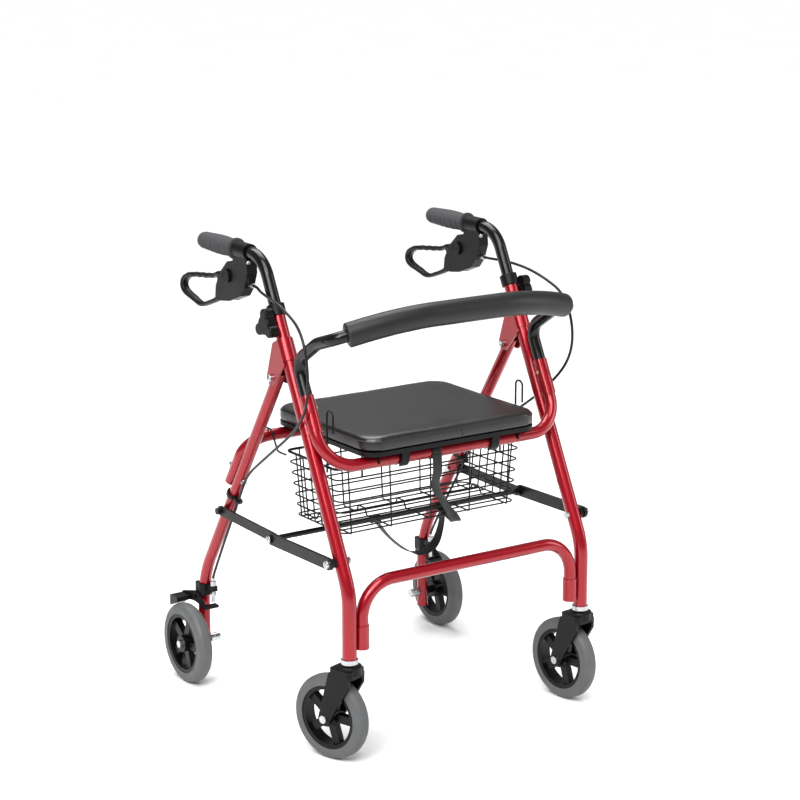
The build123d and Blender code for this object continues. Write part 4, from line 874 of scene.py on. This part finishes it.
@dataclass
class BrakeHandle:
    """Grip with finger grooves, banded brake lever and the details of its housing, on both handles."""

    lever_line: tuple[tuple[float, float], ...] = (
        (0.144, 0.794), (0.176, 0.7865), (0.205, 0.7830), (0.236, 0.7795), (0.260, 0.7755), (0.279, 0.7650),
        (0.2835, 0.7520), (0.273, 0.7420), (0.247, 0.7345), (0.217, 0.7275), (0.186, 0.7360), (0.157, 0.7480),
        (0.136, 0.7680))
    lever_root: tuple[tuple[float, float], ...] = (
        (0.1055, 0.8088), (0.120, 0.8068), (0.137, 0.7995), (0.1535, 0.7900), (0.1400, 0.7700), (0.1560, 0.7520),
        (0.1480, 0.7450), (0.1190, 0.7760), (0.0990, 0.7890), (0.0945, 0.7980))
    grip_line: tuple[tuple[float, float], ...] = (
        (88.0, 19.5), (91.6, 19.5), (93.0, 18.6), (94.5, 16.6), (99.0, 15.8), (115.0, 16.8), (130.0, 17.6),
        (150.0, 17.6), (175.0, 16.6), (190.0, 15.9), (200.0, 15.4), (205.0, 14.4), (208.5, 12.4), (211.0, 8.6),
        (212.0, 0.6))
    groove_pitch: float = 17.0
    groove_depth: float = 2.6
    grip_height: float = 848 * MM
    tube_radius: float = 11.2 * MM

    def grip_radius(self, y: float) -> float:
        """Radius of the grip at a place along it, in millimetres."""
        for (y0, r0), (y1, r1) in zip(self.grip_line, self.grip_line[1:]):
            if y <= y1:
                return r0 + (r1 - r0) * (y - y0) / (y1 - y0)
        return self.grip_line[-1][1]

    def grip(self, name: str, x: float) -> bpy.types.Object:
        """Rubber grip, smooth on top and grooved for the fingers underneath.

        Args:
            name: Piece name.
            x: Place of the grip across the walker.

        Returns:
            The grip.
        """
        sides = 48
        stations = [88.0 + 0.8 * k for k in range(152)] + [210.0, 210.6, 211.1, 211.5, 211.8, 212.0]
        path = [Vector((x, stations[0] * MM, self.grip_height))]
        rings = [[Vector((math.cos(a), 0, math.sin(a))) * self.tube_radius
                  for a in (2 * math.pi * k / sides for k in range(sides))]]
        for y in stations:
            along = min(1.0, max(0.0, (y - 98) / 6)) * min(1.0, max(0.0, (202 - y) / 6))
            wave = 0.5 + 0.5 * math.cos(2 * math.pi * (y - 104) / self.groove_pitch)
            ring = []
            for k in range(sides):
                angle = 2 * math.pi * k / sides
                under = min(1.0, max(0.0, (0.25 - math.sin(angle)) / 0.35))
                rise = (wave ** 4) * self.groove_depth * under * along
                ring.append(Vector((math.cos(angle), 0, math.sin(angle))) * (self.grip_radius(y) - rise) * MM)
            path.append(Vector((x, y * MM, self.grip_height)))
            rings.append(ring)
        piece = swept(name, path, rings, Finishes.GRIP_RUBBER)
        fine = piece.modifiers.new("fine", "SUBSURF")
        fine.levels = fine.render_levels = 1
        apply_modifiers(piece)
        piece.data.shade_smooth()
        return piece

    def lever(self, name: str, x: float, half: float) -> list[bpy.types.Object]:
        """Loop of a wide band, scalloped on its upper strand, and the root that carries it.

        Args:
            name: Piece name.
            x: Middle of the lever.
            half: Half of its width.

        Returns:
            The loop and the root.
        """
        spots = [Vector((x, y, z)) for y, z in self.lever_line]
        closed = smooth_path([spots[-1], *spots, spots[0], spots[1]], 10)[10:-10]
        path = closed[:-1]
        centre = sum(path, Vector()) / len(path)
        rings = []
        count = len(path)
        for i, here in enumerate(path):
            along = (path[(i + 1) % count] - path[i - 1]).normalized()
            out = along.cross(Vector((1, 0, 0)))
            if out.dot(here - centre) < 0:
                out.negate()
            upper = here.z > 0.765 and here.y < 0.262
            scallop = 0.5 + 0.5 * math.cos(2 * math.pi * (here.y - 0.150) / 0.0225) if upper else 0.5
            thick = (3.2 + (1.5 * scallop if upper else 0.6) + 1.6 * max(0.0, (here.y - 0.255) / 0.03)) * MM
            wide = half * (1.0 if here.y < 0.24 else 1.12)
            ring = []
            for a, b in ((-1, -0.35), (-0.8, -0.9), (-0.35, -1), (0.35, -1), (0.8, -0.9), (1, -0.35),
                         (1, 0.35), (0.8, 0.9), (0.35, 1), (-0.35, 1), (-0.8, 0.9), (-1, 0.35)):
                ring.append(Vector((a * wide, 0, 0)) + out * b * thick)
            rings.append(ring)
        loop = swept(name, path, rings, Finishes.MOULDED_NYLON, closed=True)
        loop.data.shade_smooth()
        outline = [Vector((0, y, z)) for y, z in self.lever_root]
        points = [p + Vector((x - half * 0.92, 0, 0)) for p in outline]
        points += [p + Vector((x + half * 0.92, 0, 0)) for p in outline]
        n = len(outline)
        faces: list[tuple[int, ...]] = [tuple(range(n)), tuple(reversed(range(n, 2 * n)))]
        faces += [((i + 1) % n, i, n + i, n + (i + 1) % n) for i in range(n)]
        root = mesh_object(f"{name}_root", points, faces, Finishes.MOULDED_NYLON)
        edge = root.modifiers.new("edge", "BEVEL")
        edge.width, edge.segments = 1.6 * MM, 3
        apply_modifiers(root)
        root.data.shade_smooth()
        return [loop, root]

    def build(self) -> None:
        """Make both handles' grips, levers and housing details."""
        for side, s in SIDES:
            body = f"handle_{side}"
            low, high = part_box(f"grip_{side}")
            x = (low.x + high.x) / 2
            grip = self.grip(f"rubber_grip_{side}", x)
            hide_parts(f"grip_{side}")
            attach(grip, body)
            low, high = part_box(f"brake_lever_{side}")
            loop, root = self.lever(f"lever_loop_{side}", x, (high.x - low.x) / 2)
            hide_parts(f"brake_lever_{side}")
            for piece in (loop, root):
                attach(piece, f"lever_{side}")
            low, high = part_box(f"brake_housing_{side}")
            for face, out in (("outer", s), ("inner", -s)):
                edge = high.x if out > 0 else low.x
                spot = Vector((edge, 0.1055, 0.798))
                ring = turned(f"lever_boss_{side}_{face}",
                              [(-1.0 * MM, 12.6 * MM), (0.0, 12.6 * MM), (0.5 * MM, 12.0 * MM), (0.5 * MM, 9.6 * MM),
                               (-0.3 * MM, 9.0 * MM), (-0.3 * MM, 6.2 * MM), (0.35 * MM, 5.6 * MM),
                               (0.35 * MM, 2.4 * MM), (-0.2 * MM, 2.0 * MM)],
                              spot, Vector((out, 0, 0)), Finishes.MOULDED_NYLON, 40)
                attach(ring, body)
            screw = turned(f"clamp_screw_{side}",
                           [(-1.5 * MM, 3.4 * MM), (1.2 * MM, 3.4 * MM), (1.9 * MM, 2.6 * MM), (1.9 * MM, 1.3 * MM),
                            (0.8 * MM, 1.1 * MM)],
                           Vector((x - 9 * MM, low.y + 1 * MM, 0.832)), Vector((0, -1, 0)), Finishes.ZINC, 24)
            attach(screw, body)
        log.info("brake handles done")


@dataclass
class BrakeCables:
    """Sheathed brake cables, whose routes are the frame's own, in metres."""

    diameter: float = 5 * MM
    upper_length: float = 0.278   # lengths of the frame's own cables along their middles
    middle_length: float = 0.400
    lower_length: float = 0.255
    upper: tuple[tuple[float, float, float], ...] = (
        (0.252, 0.03195, 0.790), (0.253, 0.018, 0.790), (0.2705, -0.025, 0.788), (0.276, -0.098, 0.779),
        (0.283, -0.185, 0.745), (0.2835, -0.1935, 0.690))
    middle: tuple[tuple[float, float, float], ...] = (
        (0.2835, -0.1935, 0.690), (0.2839, -0.2003, 0.646), (0.270, -0.150, 0.576), (0.266, -0.020, 0.489),
        (0.25664, 0.05708, 0.44121), (0.256, 0.070, 0.421))
    lower: tuple[tuple[float, float, float], ...] = (
        (0.256, 0.070, 0.421), (0.2494, 0.203, 0.213), (0.2494, 0.203, 0.20505))

    def run(self, name: str, route: tuple[tuple[float, float, float], ...], real_length: float,
            s: float) -> bpy.types.Object:
        """Tube along the smooth spline whose control points are the route.

        Args:
            name: Piece name.
            route: Control points of the left cable.
            real_length: The cable's own length between its ends, in metres.
            s: 1 for the left cable, -1 for the right one.

        Returns:
            The sheath as a mesh.
        """
        curve = bpy.data.curves.new(name, "CURVE")
        curve.dimensions = "3D"
        curve.resolution_u = 24
        spline = curve.splines.new("NURBS")
        spline.points.add(len(route) - 1)
        for point, (x, y, z) in zip(spline.points, route):
            point.co = (s * x, y, z, 1.0)
        spline.order_u = 3
        spline.use_endpoint_u = True
        line = bpy.data.objects.new(f"{name}_line", curve)
        bpy.context.scene.collection.objects.link(line)
        bpy.context.view_layer.update()
        centre = bpy.data.meshes.new_from_object(line)
        path = [v.co.copy() for v in centre.vertices]
        bpy.data.objects.remove(line)
        bpy.data.meshes.remove(centre)
        sheath = tube(name, path, self.diameter / 2, Finishes.PVC_SHEATH, 14)
        sheath.data.shade_smooth()
        drawn = sum((b - a).length for a, b in zip(path, path[1:]))
        log.info("%s: drawn %.1f mm of %.1f mm", name, drawn / MM, real_length / MM)
        return sheath

    def build(self) -> None:
        """Make each cable in three runs, as its clips divide it."""
        for side, s in SIDES:
            upper = self.run(f"cable_upper_{side}", self.upper, self.upper_length, s)
            middle = self.run(f"cable_middle_{side}", self.middle, self.middle_length, s)
            lower = self.run(f"cable_lower_{side}", self.lower, self.lower_length, s)
            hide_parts(f"brake_cable_upper_{side}")
            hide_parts("brake_cables_middle")
            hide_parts("brake_cables_lower")
            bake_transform(upper)
            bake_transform(middle)
            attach(lower, "rear_frame")
        log.info("brake cables done")


@dataclass
class Fasteners:
    """Domed heads with sockets over the plain bolt ends."""

    radius: float = 6.4 * MM
    rise: float = 3.4 * MM

    def dome(self, name: str, centre: Vector, axis: Vector, body: str, radius: float,
             rise: float | None = None) -> None:
        """Domed bolt head with a round recess.

        Args:
            name: Piece name.
            centre: Middle of the face it sits on.
            axis: Direction it faces.
            body: Body it rides on.
            radius: Radius of the head.
            rise: Height of the dome, or the usual one.
        """
        rise = rise or self.rise
        profile = [(-0.2 * MM, radius)]
        for k in range(7):
            angle = math.radians(90 * k / 7)
            profile.append((rise * math.sin(angle) * 0.95 + 0.05 * MM,
                            radius * (0.42 + 0.58 * math.cos(angle))))
        profile += [(rise, radius * 0.40), (rise * 0.55, radius * 0.36)]
        head = turned(name, profile, centre, axis, Finishes.ZINC)
        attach(head, body)

    def nut(self, name: str, centre: Vector, axis: Vector, body: str, radius: float, height: float) -> None:
        """Hexagonal lock nut with the bolt's end showing.

        Args:
            name: Piece name.
            centre: Middle of the face it sits on.
            axis: Direction it faces.
            body: Body it rides on.
            radius: Radius across its corners.
            height: Height of the nut.
        """
        flat = turned(name, [(0, radius * 0.9), (0.4 * MM, radius), (height - 0.5 * MM, radius),
                             (height, radius * 0.88)], centre, axis, Finishes.ZINC, sides=6)
        tip = turned(f"{name}_tip", [(0, radius * 0.55), (height + 1.0 * MM, radius * 0.55),
                                     (height + 1.6 * MM, radius * 0.45)], centre, axis, Finishes.ZINC)
        for piece in (flat, tip):
            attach(piece, body)

    def build(self) -> None:
        """Add domed heads at the fold and both brace pivots, and a nut at the fold, on each side."""
        joints = {j["name"]: j for j in frame["joints"]}
        fold = Vector(joints["fold"]["pos_m"])
        front = Vector(joints["front_brace_pivot"]["pos_m"])
        middle = Vector(joints["rear_brace_pivot"]["pos_m"])
        for side, s in SIDES:
            x = s * 0.252
            self.dome(f"pivot_head_{side}", Vector((x + s * 0.0197, fold.y, fold.z)), Vector((s, 0, 0)),
                      "front_frame", 6.6 * MM)
            self.nut(f"pivot_nut_{side}", Vector((x - s * 0.0197, fold.y, fold.z)), Vector((-s, 0, 0)),
                     "front_frame", 6.4 * MM, 3.0 * MM)
            self.dome(f"brace_front_head_{side}", Vector((s * 0.2828, front.y, front.z)), Vector((s, 0, 0)),
                      "front_frame", 7.2 * MM, 2.2 * MM)
            self.dome(f"brace_middle_head_{side}", Vector((s * 0.2827, middle.y, middle.z)), Vector((s, 0, 0)),
                      "front_links", 7.2 * MM, 2.2 * MM)
        log.info("fasteners done")


@dataclass
class Stage:
    """Pale floor, soft studio light and the camera."""

    eye: Vector = field(default_factory=lambda: Vector((-2.2303, -3.32645, 1.5310)))
    azimuth: float = -34.28
    elevation: float = 13.69
    roll: float = -0.04
    lens: float = 101.35

    def softbox(self, name: str, place: Vector, target: Vector, size: tuple[float, float],
                power: float) -> None:
        """Rectangular area light aimed at a point.

        Args:
            name: Light name.
            place: Where it stands.
            target: Where it points.
            size: Its two sides in metres.
            power: Its power in watts.
        """
        data = bpy.data.lights.new(name, "AREA")
        data.shape, data.size, data.size_y, data.energy = "RECTANGLE", size[0], size[1], power
        lamp = bpy.data.objects.new(name, data)
        lamp.location = place
        lamp.rotation_mode = "QUATERNION"
        lamp.rotation_quaternion = (target - place).to_track_quat("-Z", "Y")
        bpy.context.scene.collection.objects.link(lamp)

    def floor(self) -> None:
        """Seamless pale floor."""
        material = bpy.data.materials.new("studio_paper")
        material.use_nodes = True
        tree = material.node_tree
        tree.nodes.clear()
        place = add_node(tree, "ShaderNodeTexCoord").outputs["Object"]
        mottle = add_node(tree, "ShaderNodeTexNoise", None, {"Scale": 3.0, "Detail": 3.0}, {"Vector": place})
        tone = add_node(tree, "ShaderNodeMix", {"data_type": "RGBA"},
                        {"A": linear("FAFAFA"), "B": linear("F4F4F4")}, {"Factor": mottle.outputs["Fac"]})
        shader = add_node(tree, "ShaderNodeBsdfPrincipled", None, {"Roughness": 0.85, "Specular IOR Level": 0.2},
                          {"Base Color": tone.outputs["Result"]})
        out = add_node(tree, "ShaderNodeOutputMaterial")
        tree.links.new(shader.outputs[0], out.inputs["Surface"])
        half = 60.0
        points = [Vector((-half, -half, -0.0005)), Vector((half, -half, -0.0005)),
                  Vector((half, half, -0.0005)), Vector((-half, half, -0.0005))]
        mesh = bpy.data.meshes.new("studio_floor")
        mesh.from_pydata([tuple(p) for p in points], [], [(0, 1, 2, 3)])
        mesh.materials.append(material)
        sheet = bpy.data.objects.new("studio_floor", mesh)
        bpy.context.scene.collection.objects.link(sheet)

    def camera(self) -> None:
        """Camera at the given eye, looking along its azimuth and elevation."""
        a, e = math.radians(self.azimuth), math.radians(self.elevation)
        back = Vector((math.sin(a) * math.cos(e), -math.cos(a) * math.cos(e), math.sin(e)))
        data = bpy.data.cameras.new("camera")
        data.lens, data.sensor_width = self.lens, 36.0
        data.clip_start, data.clip_end = 0.05, 100.0
        cam = bpy.data.objects.new("camera", data)
        cam.location = self.eye
        cam.rotation_mode = "QUATERNION"
        level = (-back).to_track_quat("-Z", "Y")
        cam.rotation_quaternion = level @ Matrix.Rotation(math.radians(self.roll), 4, "Z").to_quaternion()
        bpy.context.scene.collection.objects.link(cam)
        bpy.context.scene.camera = cam

    def build(self) -> None:
        """Set up the world, the lights, the floor and the camera."""
        scene = bpy.context.scene
        world = bpy.data.worlds.new("studio")
        world.use_nodes = True
        background = world.node_tree.nodes["Background"]
        background.inputs["Color"].default_value = linear("FFFFFF")
        background.inputs["Strength"].default_value = 0.3
        scene.world = world
        scene.view_settings.view_transform = "Standard"
        target = Vector((0.0, 0.0, 0.45))
        self.softbox("key_left", Vector((-2.4, -1.6, 2.4)), target, (1.4, 1.4), 46.0)
        self.softbox("fill_right", Vector((2.6, -1.8, 1.6)), target, (0.9, 2.0), 22.0)
        self.softbox("top", Vector((0.2, 0.9, 2.8)), target, (2.0, 1.6), 60.0)
        sky = bpy.data.lights.new("sky", "SUN")
        sky.energy, sky.angle = 3.1, math.radians(46)
        lamp = bpy.data.objects.new("sky", sky)
        lamp.rotation_euler = (math.radians(26), math.radians(-24), 0.0)
        scene.collection.objects.link(lamp)
        self.floor()
        self.camera()
        log.info("stage done")


def main() -> None:
    """Build every sub-assembly in order."""
    logging.basicConfig(level=logging.INFO, format="%(name)s: %(message)s")
    FrameFinishes().build()
    SeatPad().build()
    FoamSleeve().build()
    PullStrap().build()
    BrakeHandle().build()
    BrakeCables().build()
    Fasteners().build()
    Stage().build()
    bpy.context.view_layer.update()


if __name__ == "__main__":
    main()
